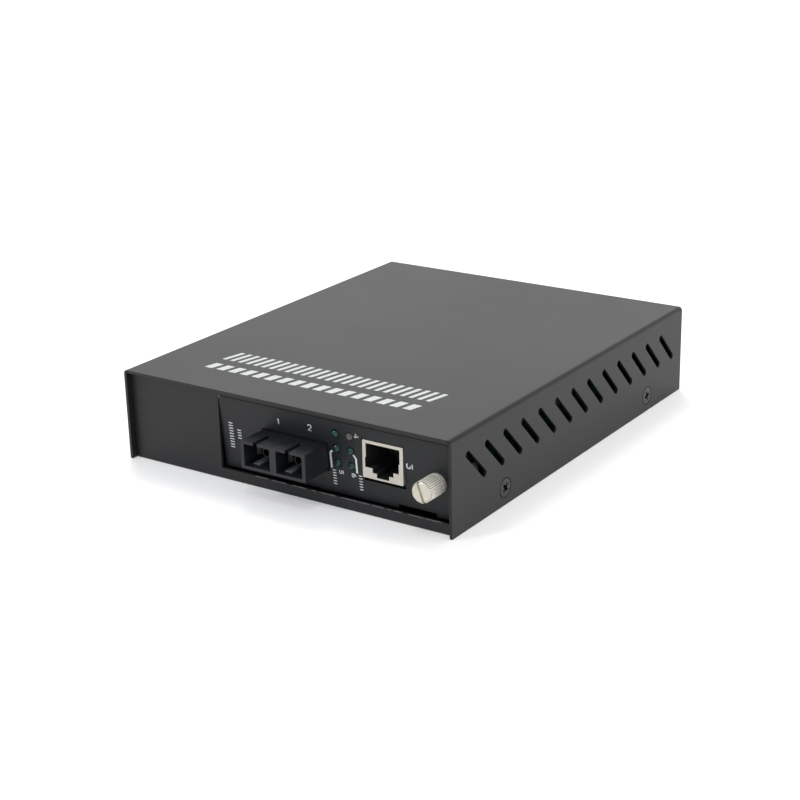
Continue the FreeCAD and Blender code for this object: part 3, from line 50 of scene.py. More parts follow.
CASE_LOW, CASE_HIGH = [Vector(corner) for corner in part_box("top_cover")]
PLATE_LOW, PLATE_HIGH = [Vector(corner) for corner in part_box("card_faceplate")]
PLATE_LEAN = math.radians(5.0)
SC_LOW = Vector(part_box("sc_receptacle")[0])
KNOB_LOW, KNOB_HIGH = [Vector(corner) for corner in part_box("thumbscrew")]
KNOB_X = (KNOB_LOW.x + KNOB_HIGH.x) / 2
KNOB_Z = (KNOB_LOW.z + KNOB_HIGH.z) / 2
KNOB_RADIUS = (KNOB_HIGH.x - KNOB_LOW.x) / 2
BOARD_LOW, BOARD_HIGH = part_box("card_board")
BOARD_BOTTOM = BOARD_LOW[2]
BOARD_TOP = BOARD_HIGH[2]
SUPPLY_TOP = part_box("supply_board")[1][2]

# ---------------------------------------------------------------- material helpers


def new_material(name):
    """An empty node material: (material, nodes, links, shader)."""
    material = bpy.data.materials.new(name)
    material.use_nodes = True
    nodes = material.node_tree.nodes
    return material, nodes, material.node_tree.links, nodes["Principled BSDF"]


def place(nodes, links, scale=(1, 1, 1)):
    """Object coordinates in metres, stretched by scale."""
    coordinates = nodes.new("ShaderNodeTexCoord")
    mapping = nodes.new("ShaderNodeMapping")
    mapping.inputs["Scale"].default_value = scale
    links.new(coordinates.outputs["Object"], mapping.inputs["Vector"])
    return mapping.outputs["Vector"]


def split(nodes, links, vector):
    """The outputs X, Y and Z of a vector."""
    node = nodes.new("ShaderNodeSeparateXYZ")
    links.new(vector, node.inputs["Vector"])
    return node.outputs


def noise(nodes, links, vector, scale, detail=3.0, roughness=0.55):
    """A noise texture's strength, at a scale in cells per metre."""
    texture = nodes.new("ShaderNodeTexNoise")
    texture.inputs["Scale"].default_value = scale
    texture.inputs["Detail"].default_value = detail
    texture.inputs["Roughness"].default_value = roughness
    links.new(vector, texture.inputs["Vector"])
    return texture.outputs["Fac"]


def spread(nodes, links, value, low, high, start=0.3, end=0.7):
    """A value stretched from start..end to low..high."""
    ranged = nodes.new("ShaderNodeMapRange")
    ranged.inputs["From Min"].default_value = start
    ranged.inputs["From Max"].default_value = end
    ranged.inputs["To Min"].default_value = low
    ranged.inputs["To Max"].default_value = high
    links.new(value, ranged.inputs["Value"])
    return ranged.outputs["Result"]


def multiplied(nodes, links, one, two):
    """The product of two values."""
    node = nodes.new("ShaderNodeMath")
    node.operation = "MULTIPLY"
    links.new(one, node.inputs[0])
    links.new(two, node.inputs[1])
    return node.outputs["Value"]


def tint(nodes, links, value, first, second, start=0.3, end=0.7):
    """A colour that runs from first to second with a value."""
    ramp = nodes.new("ShaderNodeValToRGB")
    ramp.color_ramp.elements[0].position = start
    ramp.color_ramp.elements[0].color = (*first, 1)
    ramp.color_ramp.elements[1].position = end
    ramp.color_ramp.elements[1].color = (*second, 1)
    links.new(value, ramp.inputs["Fac"])
    return ramp.outputs["Color"]


def mixed(nodes, links, factor, one, two):
    """A colour between an output and either another output or a plain colour."""
    mix = nodes.new("ShaderNodeMix")
    mix.data_type = "RGBA"
    links.new(factor, mix.inputs["Factor"])
    links.new(one, mix.inputs["A"])
    if isinstance(two, tuple):
        mix.inputs["B"].default_value = (*two, 1)
    else:
        links.new(two, mix.inputs["B"])
    return mix.outputs["Result"]


def bump(nodes, links, height, distance, strength=1.0):
    """The normal of a relief that is distance high."""
    node = nodes.new("ShaderNodeBump")
    node.inputs["Distance"].default_value = distance
    node.inputs["Strength"].default_value = strength
    links.new(height, node.inputs["Height"])
    return node.outputs["Normal"]


def surface(name, dark, light, rough, metal=0.0, grain=900, stretch=(1, 1, 1), relief=None, coat=0.0,
            ior=1.5):
    """A material whose colour and roughness vary with a noise, with an optional relief of (height, scale)."""
    material, nodes, links, shader = new_material(name)
    vector = place(nodes, links, stretch)
    cloud = noise(nodes, links, vector, grain)
    links.new(tint(nodes, links, cloud, dark, light), shader.inputs["Base Color"])
    links.new(spread(nodes, links, cloud, *rough), shader.inputs["Roughness"])
    shader.inputs["Metallic"].default_value = metal
    shader.inputs["Coat Weight"].default_value = coat
    shader.inputs["IOR"].default_value = ior
    if relief:
        height, scale = relief
        fine = noise(nodes, links, vector, scale, 2.0)
        links.new(bump(nodes, links, fine, height), shader.inputs["Normal"])
    return material


# ---------------------------------------------------------------- finishes

COAT_BLACK = ((0.0085, 0.0085, 0.009), (0.0105, 0.0105, 0.011))
COAT_ROUGHNESS = (0.46, 0.50)
COAT_IOR = 1.4
FOLD_SHADE_METAL = 0.6                    # metallic of the painted shade along the roof's folds, which darkens the coat's reflection there
FOLD_SHADE_SIDE = (2.2 * MM, 1.0 * MM)    # the painted fold shade starts and is full at these distances from the cover's side
FOLD_SHADE_TOP = (1.3 * MM, 0.5 * MM)     # and at these below its roof

# The knurl's paler, less metallic ridges are a painted highlight, and its dark grooves are painted shade.
RIDGE_HIGHLIGHT_NICKEL = ((0.82, 0.77, 0.66), (0.93, 0.88, 0.77))
FACE_NICKEL = ((0.47, 0.435, 0.37), (0.60, 0.565, 0.49))
GROOVE_SHADE = (0.03, 0.025, 0.018)
KNOB_ROUGHNESS = (0.30, 0.38)
FACE_DEPTH = (0.7 * MM, 0.9 * MM)       # the thumbscrew's plain face ends between these depths
GROOVE_SHADE_DEPTH = (0.28 * MM, 0.08 * MM)   # the painted groove shade is darkest and clear at these depths under the knurl's ridges
SLOT_DEPTH = (0.5 * MM, 0.4 * MM)       # deeper than this it is the driver slot, which stays clear
FACE_METAL = 0.7
KNURL_METAL = 0.25

MASK_GREEN = ((0.006, 0.060, 0.024), (0.010, 0.085, 0.035))
TRACK_GREEN = (0.020, 0.145, 0.055)
BOARD_ROUGHNESS = (0.28, 0.4)
TRACK_CELL = 3 * MM                     # the unit of the four numbers below
TRACK_OFFSET = 0.37
TRACK_WIDTH = 0.06
TRACK_LENGTH = 5.2
TRACK_PITCH = 0.85


def powder_coat():
    """Fine-textured black powder coat, a little uneven in gloss, with painted shade along the roof's two
    folds: the coat turns partly metallic there, which darkens its reflection.
    """
    material, nodes, links, shader = new_material("powder_coat")
    vector = place(nodes, links)
    broad = noise(nodes, links, vector, 22, 2.0)
    fine = noise(nodes, links, vector, 2600, 3.0, 0.6)
    links.new(tint(nodes, links, broad, *COAT_BLACK), shader.inputs["Base Color"])
    links.new(spread(nodes, links, broad, *COAT_ROUGHNESS), shader.inputs["Roughness"])
    shader.inputs["IOR"].default_value = COAT_IOR
    axes = split(nodes, links, vector)
    distance = nodes.new("ShaderNodeMath")
    distance.operation = "ABSOLUTE"
    links.new(axes["X"], distance.inputs[0])
    # Painted shade: a mask over the roof's two folds raises the metallic there, darkening the coat's
    # reflection.
    sides = spread(nodes, links, distance.outputs["Value"], 0, 1,
                   CASE_HIGH.x - FOLD_SHADE_SIDE[0], CASE_HIGH.x - FOLD_SHADE_SIDE[1])
    edge = spread(nodes, links, axes["Z"], 0, 1, CASE_HIGH.z - FOLD_SHADE_TOP[0], CASE_HIGH.z - FOLD_SHADE_TOP[1])
    fold_shade = multiplied(nodes, links, sides, edge)
    links.new(spread(nodes, links, fold_shade, 0, FOLD_SHADE_METAL, 0, 1), shader.inputs["Metallic"])
    links.new(bump(nodes, links, fine, 0.04 * MM, 0.6), shader.inputs["Normal"])
    return material


def knurled_metal():
    """The thumbscrew's nickel: a dull face, and round its side paler ridges as a painted highlight, with dark
    grooves as painted shade.
    """
    material, nodes, links, shader = new_material("knurled_nickel")
    vector = place(nodes, links)
    cloud = noise(nodes, links, vector, 700)
    ridge = tint(nodes, links, cloud, *RIDGE_HIGHLIGHT_NICKEL)
    face = tint(nodes, links, cloud, *FACE_NICKEL)
    axes = split(nodes, links, vector)
    flat = nodes.new("ShaderNodeCombineXYZ")
    links.new(axes["X"], flat.inputs["X"])
    links.new(axes["Z"], flat.inputs["Z"])
    reach = nodes.new("ShaderNodeVectorMath")
    reach.operation = "DISTANCE"
    links.new(flat.outputs["Vector"], reach.inputs[0])
    reach.inputs[1].default_value = (KNOB_X, 0, KNOB_Z)
    out = reach.outputs["Value"]
    groove_shade_mask = spread(nodes, links, out, 1, 0, KNOB_RADIUS - GROOVE_SHADE_DEPTH[0], KNOB_RADIUS - GROOVE_SHADE_DEPTH[1])
    behind = spread(nodes, links, axes["Y"], 0, 1, KNOB_LOW.y + FACE_DEPTH[0], KNOB_LOW.y + FACE_DEPTH[1])
    outside = spread(nodes, links, out, 0, 1, KNOB_RADIUS - SLOT_DEPTH[0], KNOB_RADIUS - SLOT_DEPTH[1])
    # Painted shade in the knurl's grooves, kept off the face and the driver slot. The paler ridges are a
    # painted highlight.
    dark = multiplied(nodes, links, multiplied(nodes, links, groove_shade_mask, behind), outside)
    bright = mixed(nodes, links, behind, face, ridge)
    links.new(mixed(nodes, links, dark, bright, GROOVE_SHADE), shader.inputs["Base Color"])
    links.new(spread(nodes, links, cloud, *KNOB_ROUGHNESS), shader.inputs["Roughness"])
    links.new(spread(nodes, links, behind, FACE_METAL, KNURL_METAL, 0, 1), shader.inputs["Metallic"])
    return material


def circuit_board():
    """Green solder mask with lighter tracks that show through it."""
    material, nodes, links, shader = new_material("board_green")
    vector = place(nodes, links)
    cloud = noise(nodes, links, vector, 120)
    mask = tint(nodes, links, cloud, *MASK_GREEN)
    tracks = nodes.new("ShaderNodeTexBrick")
    tracks.offset = TRACK_OFFSET
    tracks.inputs["Scale"].default_value = 1 / TRACK_CELL
    tracks.inputs["Mortar Size"].default_value = TRACK_WIDTH
    tracks.inputs["Brick Width"].default_value = TRACK_LENGTH
    tracks.inputs["Row Height"].default_value = TRACK_PITCH
    tracks.inputs["Color1"].default_value = (0, 0, 0, 1)
    tracks.inputs["Color2"].default_value = (0, 0, 0, 1)
    tracks.inputs["Mortar"].default_value = (1, 1, 1, 1)
    links.new(vector, tracks.inputs["Vector"])
    colour = mixed(nodes, links, tracks.outputs["Color"], mask, TRACK_GREEN)
    links.new(colour, shader.inputs["Base Color"])
    links.new(spread(nodes, links, cloud, *BOARD_ROUGHNESS), shader.inputs["Roughness"])
    links.new(bump(nodes, links, tracks.outputs["Color"], 0.03 * MM, 0.5), shader.inputs["Normal"])
    return material


# By slot: the darkest and the lightest colour, the range of the roughness, and what else surface() takes.
PLAIN_FINISHES = {
    "plate_black": ((0.008, 0.0085, 0.0095), (0.011, 0.0115, 0.0125), (0.42, 0.5),
                    {"grain": 120, "relief": (0.02 * MM, 2600), "ior": 1.37}),
    "screw_black": ((0.035, 0.036, 0.038), (0.06, 0.062, 0.065), (0.2, 0.3), {"metal": 0.9, "grain": 1500}),
    "zinc_steel": ((0.5, 0.5, 0.48), (0.66, 0.66, 0.64), (0.25, 0.4), {"metal": 1.0, "grain": 500}),
    "nickel": ((0.80, 0.77, 0.71), (0.90, 0.87, 0.81), (0.30, 0.40), {"metal": 0.4, "grain": 700}),
    "nickel_bright": ((0.48, 0.45, 0.39), (0.55, 0.515, 0.46), (0.36, 0.46),
                      {"metal": 0.8, "grain": 300, "relief": (0.01 * MM, 2500)}),
    "port_plastic": ((0.009, 0.0095, 0.011), (0.012, 0.013, 0.015), (0.34, 0.44),
                     {"grain": 300, "relief": (0.01 * MM, 2400), "ior": 1.4}),
    "black_plastic": ((0.008, 0.008, 0.008), (0.014, 0.014, 0.014), (0.38, 0.5),
                      {"grain": 400, "relief": (0.02 * MM, 2600)}),
    "white_nylon": ((0.62, 0.60, 0.53), (0.74, 0.72, 0.66), (0.4, 0.5), {"grain": 500}),
    "gold_contact": ((0.75, 0.52, 0.2), (0.9, 0.68, 0.32), (0.15, 0.25), {"metal": 1.0}),
    "plated_brass": ((0.62, 0.60, 0.52), (0.74, 0.72, 0.64), (0.22, 0.34), {"metal": 1.0, "grain": 700}),
    "fuse_glass": ((0.70, 0.72, 0.70), (0.8, 0.82, 0.8), (0.05, 0.1), {}),
    "lens_green": ((0.001, 0.022, 0.015), (0.0015, 0.034, 0.023), (0.3, 0.4),
                   {"grain": 600, "coat": 0.7, "ior": 1.15}),
    "lens_clear": ((0.05, 0.046, 0.040), (0.085, 0.08, 0.07), (0.10, 0.16),
                   {"grain": 600, "coat": 0.4, "ior": 1.35}),
    "board_tan": ((0.40, 0.28, 0.14), (0.52, 0.38, 0.2), (0.5, 0.6), {"grain": 300}),
    "transceiver_black": ((0.012, 0.012, 0.013), (0.02, 0.02, 0.021), (0.35, 0.45), {"grain": 400}),
    "chip_black": ((0.016, 0.016, 0.017), (0.026, 0.026, 0.028), (0.45, 0.6),
                   {"grain": 1500, "relief": (0.01 * MM, 5000)}),
    "ferrite": ((0.035, 0.035, 0.037), (0.06, 0.06, 0.063), (0.5, 0.65), {}),
    "bobbin_black": ((0.012, 0.012, 0.012), (0.018, 0.018, 0.018), (0.45, 0.55), {"grain": 500}),
    "winding_tape": ((0.70, 0.46, 0.03), (0.82, 0.58, 0.06), (0.25, 0.35), {"grain": 300}),
    "can_metal": ((0.66, 0.65, 0.62), (0.78, 0.77, 0.74), (0.18, 0.3), {"metal": 1.0}),
    "capacitor_sleeve": ((0.010, 0.014, 0.035), (0.016, 0.022, 0.05), (0.25, 0.35), {"grain": 500}),
    "heatsink_aluminium": ((0.6, 0.61, 0.62), (0.74, 0.75, 0.76), (0.3, 0.42),
                           {"metal": 1.0, "stretch": (1, 1, 0.1)}),
    "mains_insulation": ((0.05, 0.14, 0.4), (0.07, 0.18, 0.48), (0.4, 0.5), {"grain": 500}),
    "low_insulation": ((0.45, 0.02, 0.02), (0.55, 0.03, 0.03), (0.4, 0.5), {"grain": 500}),
}
FINISHES = {name: surface(name, dark, light, rough, **rest)
            for name, (dark, light, rough, rest) in PLAIN_FINISHES.items()}
FINISHES["case_black"] = powder_coat()
FINISHES["board_green"] = circuit_board()

# Painted light: the ribs' pale grey stands in for a patch of light on each port's floor.
PORT_RIB_PAINTED_LIGHT = surface("port_rib", (0.10, 0.105, 0.115), (0.14, 0.145, 0.155), (0.4, 0.5))
KNURLED = knurled_metal()
PALE_METAL = surface("pale_metal", (0.20, 0.20, 0.20), (0.42, 0.42, 0.42), (0.35, 0.5), metal=0.6, grain=1400)
TOP_INK = surface("top_ink", (0.41, 0.41, 0.405), (0.49, 0.49, 0.485), (0.5, 0.6))
INK = surface("white_ink", (0.52, 0.52, 0.51), (0.62, 0.62, 0.61), (0.5, 0.6))


def finish_nodes():
    """Give every CAD node the finish of its slot, and the thumbscrew its own."""
    for entry in frame["record"]["subparts"]:
        node = NODES[entry["node"]]
        node.data.materials.clear()
        finish = KNURLED if entry["node"] == "thumbscrew" else FINISHES[entry["material_slot"]]
        node.data.materials.append(finish)


# ---------------------------------------------------------------- mesh helpers


def axes_matrix(axes, origin):
    """The matrix whose columns are three axes and an origin."""
    matrix = Matrix.Identity(4)
    for column, axis in enumerate(axes):
        for line in range(3):
            matrix[line][column] = axis[line]
    matrix.translation = origin
    return matrix


def prism(bm, outline, matrix, height):
    """A flat-sided solid raised by height from an outline of (x, y), put in place by a matrix."""
    low = [bm.verts.new(matrix @ Vector((x, y, 0))) for x, y in outline]
    top = [bm.verts.new(matrix @ Vector((x, y, height))) for x, y in outline]
    bm.faces.new(low[::-1])
    bm.faces.new(top)
    for index in range(len(outline)):
        following = (index + 1) % len(outline)
        bm.faces.new((low[index], low[following], top[following], top[index]))


def cuboid(bm, low, high):
    """A box between two corners."""
    outline = [(low[0], low[1]), (high[0], low[1]), (high[0], high[1]), (low[0], high[1])]
    prism(bm, outline, Matrix.Translation((0, 0, low[2])), high[2] - low[2])


def turned_solid(bm, centre, profile, sides):
    """A solid turned about an upright axis from (radius, z) pairs; both ends are closed."""
    rings = []
    for radius, z in profile:
        rings.append([bm.verts.new((centre[0] + radius * math.cos(2 * math.pi * k / sides),
                                    centre[1] + radius * math.sin(2 * math.pi * k / sides), z))
                      for k in range(sides)])
    for lower, upper in zip(rings, rings[1:]):
        for k in range(sides):
            following = (k + 1) % sides
            bm.faces.new((lower[k], lower[following], upper[following], upper[k]))
    bm.faces.new(rings[0][::-1])
    bm.faces.new(rings[-1])


def stroke(points, width):
    """The outline of a bent line of one width, with square ends."""
    half = width / 2
    left = []
    right = []
    for index, point in enumerate(points):
        before = points[max(index - 1, 0)]
        after = points[min(index + 1, len(points) - 1)]
        along = Vector((after[0] - before[0], after[1] - before[1])).normalized()
        across = Vector((-along.y, along.x)) * half
        left.append((point[0] + across.x, point[1] + across.y))
        right.append((point[0] - across.x, point[1] - across.y))
    return left + right[::-1]


def finish_mesh(bm, name):
    """The bmesh as mesh data with outward normals."""
    bmesh.ops.recalc_face_normals(bm, faces=bm.faces)
    mesh = bpy.data.meshes.new(name)
    bm.to_mesh(mesh)
    bm.free()
    return mesh


def add(name, bm, body, slot_name, material=None):
    """Finish a bmesh as a piece that rides on a body, in its slot's finish unless a material is given."""
    piece = bpy.data.objects.new(name, finish_mesh(bm, name))
    bpy.context.scene.collection.objects.link(piece)
    piece.data.materials.append(material or FINISHES[slot_name])
    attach(piece, body)


def islands(name):
    """The box of each separate solid of a CAD node, as (low, high) pairs sorted by place."""
    mesh = NODES[name].data
    leader = {}

    def find(key):
        while leader[key] != key:
            leader[key] = leader[leader[key]]
            key = leader[key]
        return key

    keys = [tuple(round(value, 6) for value in vertex.co) for vertex in mesh.vertices]
    for key in keys:
        leader.setdefault(key, key)
    for polygon in mesh.polygons:
        corners = [find(keys[index]) for index in polygon.vertices]
        for corner in corners[1:]:
            leader[find(corner)] = find(corners[0])
    groups = {}
    for key in leader:
        groups.setdefault(find(key), []).append(key)
    return sorted(([min(axis) for axis in zip(*group)], [max(axis) for axis in zip(*group)])
                  for group in groups.values())


def middle_of(low, high):
    """The middle of a box, seen from above."""
    return (low[0] + high[0]) / 2, (low[1] + high[1]) / 2


# ---------------------------------------------------------------- printed marks, a pale line on the sill and a worn corner

INK_HEIGHT = 0.03 * MM

# On the plate, in millimetres: x and height in the frame. The runs of a digit are in shares of its size.
LEADER_LINES = (((18.75, 18.75), (17.95, 17.95), (17.95, 12.7)),
                ((26.75, 18.85), (27.75, 17.75), (27.75, 12.7)))
LEADER_WIDTH = 0.72
DIGIT_RUNS = {
    1: [[(0.1, 0.75), (0.5, 1), (0.5, 0)]],
    2: [[(0, 0.8), (0.15, 1), (0.85, 1), (1, 0.8), (1, 0.6), (0, 0), (1, 0)]],
    3: [[(0, 1), (1, 1), (0.45, 0.58), (0.85, 0.58), (1, 0.4), (1, 0.15), (0.8, 0), (0.15, 0), (0, 0.15)]],
    4: [[(0.75, 0), (0.75, 1), (0, 0.3), (1, 0.3)]],
    5: [[(1, 1), (0.1, 1), (0.05, 0.58), (0.8, 0.58), (1, 0.42), (1, 0.15), (0.8, 0), (0, 0)]],
    6: [[(0.8, 1), (0.3, 0.95), (0, 0.5), (0, 0.15), (0.2, 0), (0.8, 0), (1, 0.15), (1, 0.4), (0.8, 0.55),
         (0, 0.45)]],
}
# Digit, x, height above the table, width, height, line width; the turned ones read downwards.
UPRIGHT_DIGITS = ((1, -2.3, 23.8, 1.0, 1.9, 0.36), (2, 9.9, 24.0, 1.3, 1.9, 0.36))
TURNED_DIGITS = ((3, 46.9, 20.2, 1.5, 2.0, 0.42), (4, 27.8, 26.4, 1.4, 1.6, 0.28),
                 (5, 20.9, 12.4, 1.1, 1.4, 0.3), (6, 25.7, 12.2, 1.1, 1.4, 0.3))
# Columns of dashes: x, height of the top one, length, count.
DASH_COLUMNS = ((18.2, 12.0, 1.3, 6), (28.3, 12.0, 1.3, 6), (-23.0, 20.2, 1.7, 10), (-19.5, 18.2, 1.5, 4))
DASH_PITCH = 0.95
DASH_WIDTH = 0.32

# On the roof, in millimetres. Rows of bars: near and far edge behind the front, slant, bar, gap, count.
BARS_START = -43.4
BAR_ROWS = ((25.6, 34.0, 1.8, 1.6, 1.7, 26), (16.2, 21.2, 1.2, 3.1, 1.9, 17))

SILL_LINE_SEED = 5
SILL_HEIGHT = 3.9 * MM
SILL_LINE_START = 14 * MM
SILL_LINE_END = 2 * MM
SILL_RUN = (1.5, 7.0)       # shortest and longest, in millimetres
SILL_GAP = (0.3, 2.4)
SILL_DEPTH = (-0.01 * MM, 0.05 * MM)        # from the bay's front edge
SILL_RISE = (-0.10 * MM, 0.01 * MM)         # from the sill's top
CORNER_CHIP = ((0, 0), (0.7, 0), (0.35, -0.3), (0, -0.45))      # millimetres from the plate's top left corner
CORNER_CHIP_DROP = 0.02 * MM


def plate_matrix():
    """From plate coordinates (x to the right, y up the leaning face, z outwards) to the frame."""
    up = Vector((0, -math.sin(PLATE_LEAN), math.cos(PLATE_LEAN)))
    out = Vector((0, -math.cos(PLATE_LEAN), -math.sin(PLATE_LEAN)))
    origin = Vector((0, PLATE_LOW.y, PLATE_HIGH.z)) - up * (PLATE_HIGH.z / math.cos(PLATE_LEAN))
    return axes_matrix((Vector((1, 0, 0)), up, out), origin)


def make_plate_marks():
    """Leader lines, port and lamp digits and columns of plain dashes, in white on the leaning face."""
    bm = bmesh.new()
    matrix = plate_matrix()
    lean_scale = 1 / math.cos(PLATE_LEAN)

    def line(points, width):
        raised = [(x * MM, z * MM * lean_scale) for x, z in points]
        prism(bm, stroke(raised, width * MM), matrix, INK_HEIGHT)

    for points in LEADER_LINES:
        line(points, LEADER_WIDTH)
    for value, x, z, width, height, weight in UPRIGHT_DIGITS:
        for run in DIGIT_RUNS[value]:
            line([(x + width * u, z + height * v) for u, v in run], weight)
    for value, x, z, width, height, weight in TURNED_DIGITS:
        for run in DIGIT_RUNS[value]:
            line([(x + height * v, z - width * u) for u, v in run], weight)
    for x, top, length, count in DASH_COLUMNS:
        for index in range(count):
            level = top - index * DASH_PITCH
            line([(x, level), (x + length, level)], DASH_WIDTH)
    add("plate_marks", bm, "card", "plate_black", INK)


def make_top_marks():
    """Two rows of slanted white bars near the cover's front edge."""
    bm = bmesh.new()
    level = Matrix.Translation((0, 0, CASE_HIGH.z - INK_HEIGHT / 2))
    front = CASE_LOW.y / MM
    for near, far, slant, width, gap, count in BAR_ROWS:
        x = BARS_START
        for _ in range(count):
            corners = [(x, near), (x + width, near), (x + width + slant, far), (x + slant, far)]
            prism(bm, [(u * MM, (front + v) * MM) for u, v in corners], level, INK_HEIGHT)
            x += width + gap
    add("top_marks", bm, "case", "case_black", TOP_INK)


def make_sill_line_and_worn_corner():
    """Short runs of pale grey metal along the front edge of the bay's sill, and bare metal where the paint
    has rubbed off the plate's top left corner.
    """
    rng = random.Random(SILL_LINE_SEED)
    # Short pale grey runs along the sill's front edge, with gaps between them.
    sill = bmesh.new()
    front = PLATE_LOW.y
    x = PLATE_LOW.x + SILL_LINE_START
    while x < PLATE_HIGH.x - SILL_LINE_END:
        run = rng.uniform(*SILL_RUN) * MM
        cuboid(sill, (x, front + SILL_DEPTH[0], SILL_HEIGHT + SILL_RISE[0]),
               (min(x + run, PLATE_HIGH.x), front + SILL_DEPTH[1], SILL_HEIGHT + SILL_RISE[1]))
        x += run + rng.uniform(*SILL_GAP) * MM
    add("pale_sill_line", sill, "case", "case_black", PALE_METAL)

    chip = bmesh.new()
    top = (PLATE_HIGH.z - CORNER_CHIP_DROP) / math.cos(PLATE_LEAN)
    prism(chip, [(PLATE_LOW.x + u * MM, top + v * MM) for u, v in CORNER_CHIP], plate_matrix(), INK_HEIGHT)
    add("worn_corner", chip, "card", "plate_black", PALE_METAL)


# ---------------------------------------------------------------- details of the boards

LEAD_THICKNESS = 0.15 * MM
LEAD_SUNK = 0.02 * MM           # how far a lead starts inside its chip
LEAD_SHOULDER = 0.35            # where a lead bends, in shares of its reach: above, at the foot, and below
LEAD_FOOT = 0.6
LEAD_UNDER = (0.5, 0.25)
# Chip, leads on a side, sides, reach, lead width, and the height of the shoulder as a share of the chip's.
CHIP_LEADS = (("converter_chip", 26, "xXyY", 1.1, 0.32, 0.45), ("line_chip", 14, "xXyY", 0.9, 0.28, 0.45),
              ("line_magnetics", 8, "yY", 1.0, 0.5, 0.2), ("regulator", 3, "X", 1.4, 0.8, 0.45))
CORNER_MARKS = (("converter_chip", 3.0), ("line_chip", 1.8))    # chip and the mark's inset, in millimetres
CORNER_MARK_RADIUS = 0.5 * MM
CORNER_MARK_RISE = (-0.02 * MM, 0.01 * MM)      # from the chip's top
CORNER_MARK_SIDES = 20

PART_GRID = 0.5 * MM
PART_MARGIN = 3.0 * MM          # from the board's edges
PART_CLEARANCE = 1.6 * MM       # from other parts
PART_SPACING = 2.6 * MM         # from each other
PART_TRIES = 4000
CARD_PARTS, CARD_SEED = 58, 7
SUPPLY_PARTS, SUPPLY_SEED = 16, 11
# In millimetres: half length, half breadth and height of the body and of an end, and the end's distance.
CARD_PART = ((0.7, 0.42, 0.55), (0.25, 0.62, 0.6), 0.75)
SUPPLY_PART = ((1.36, 0.72, 0.7), (0.4, 0.8, 0.75), 1.3)
CARD_OBSTACLES = (
    "converter_chip", "line_chip", "line_magnetics", "regulator", "clock_crystal", "power_inductor",
    "card_power_plug", "transceiver_body", "jack_insert", "jack_shell", "lamp_holder", "card_faceplate",
    "sc_receptacle", "latch_bracket", "card_guide_left", "card_guide_right")
SUPPLY_OBSTACLES = (
    "transformer_base", "bulk_capacitor", "fuse_clips", "supply_heatsink", "switch_transistor",
    "mains_header", "low_voltage_header")

SOLDER_CONE = ((0.2, -1.0), (0.35, -0.6), (0.85, 0.02))     # radius and height from the board's underside
SOLDER_SIDES = 10
CAPACITOR_PIN = 1.25 * MM       # from a capacitor's middle
PLUG_PIN = 1.5 * MM             # behind the front of a pin of the power plug
TRANSCEIVER_ROW = 2 * MM        # from the transceiver's sides
TRANSCEIVER_PINS = 9
TRANSCEIVER_PITCH = 2.54 * MM
TRANSCEIVER_START = 0.7         # pitches from the transceiver's front to the first pin
JACK_PINS = 8
JACK_FIRST_PIN = (3.0, 2.0)     # from the insert's left side and from its back, in millimetres
JACK_PIN_STEP = (1.1, 2.5)      # to the next pin, and to the other row

CAPACITORS = (("bulk_capacitor", "case"), ("output_capacitors", "case"), ("card_capacitors", "card"))
CAN_TOP_SHARE = 0.78            # of a capacitor's radius
CAN_TOP_RISE = (-0.02 * MM, 0.03 * MM)
CROSS_SHARE = 0.6
CROSS_WIDTH = 0.25 * MM
CROSS_START = 0.02 * MM
CROSS_HEIGHT = 0.05 * MM
CROSS_TURNS = (math.radians(45), math.radians(135))
FUSE_CAP_LENGTH = 4.2 * MM
FUSE_CAP_LIFT = 0.03 * MM
ROUND_SIDES = 32


def gull_leads(bm, node, count, sides, reach, width, shoulder):
    """Bent leads from a chip's sides down to the board; xX and yY name the low and high sides."""
    low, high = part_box(node)
    seat = low[2]
    middle = seat + (high[2] - seat) * shoulder
    foot = seat + LEAD_THICKNESS
    profile = [(0, middle), (LEAD_SHOULDER, middle), (LEAD_FOOT, foot), (1, foot), (1, seat),
               (LEAD_UNDER[0], seat), (LEAD_UNDER[1], middle - LEAD_THICKNESS), (0, middle - LEAD_THICKNESS)]
    for side in sides:
        along = 1 if side in "xX" else 0
        across = 1 - along
        outwards = 1 if side in "XY" else -1
        edge = high[across] if outwards > 0 else low[across]
        span = high[along] - low[along]
        for index in range(count):
            centre = low[along] + span * (index + 0.5) / count
            faces = []
            for shift in (-width / 2, width / 2):
                ring = []
                for step, z in profile:
                    point = [0, 0, z]
                    point[across] = edge + outwards * (step * reach - LEAD_SUNK)
                    point[along] = centre + shift
                    ring.append(bm.verts.new(point))
                faces.append(ring)
            for k in range(len(profile)):
                following = (k + 1) % len(profile)
                bm.faces.new((faces[0][k], faces[0][following], faces[1][following], faces[1][k]))
            bm.faces.new(faces[0])
            bm.faces.new(faces[1][::-1])


def scatter(board, keep_out, count, seed):
    """Places for small parts on a board, as (x, y, turned), clear of the boxes of other parts."""
    rng = random.Random(seed)
    low_corner, high_corner = board
    found = []
    tries = 0
    while len(found) < count and tries < PART_TRIES:
        tries += 1
        x = rng.uniform(low_corner[0] + PART_MARGIN, high_corner[0] - PART_MARGIN)
        y = rng.uniform(low_corner[1] + PART_MARGIN, high_corner[1] - PART_MARGIN)
        x = round(x / PART_GRID) * PART_GRID
        y = round(y / PART_GRID) * PART_GRID
        if any(low[0] - PART_CLEARANCE < x < high[0] + PART_CLEARANCE
               and low[1] - PART_CLEARANCE < y < high[1] + PART_CLEARANCE for low, high in keep_out):
            continue
        if any(abs(x - u) < PART_SPACING and abs(y - v) < PART_SPACING for u, v, _ in found):
            continue
        found.append((x, y, rng.random() < 0.5))
    return found


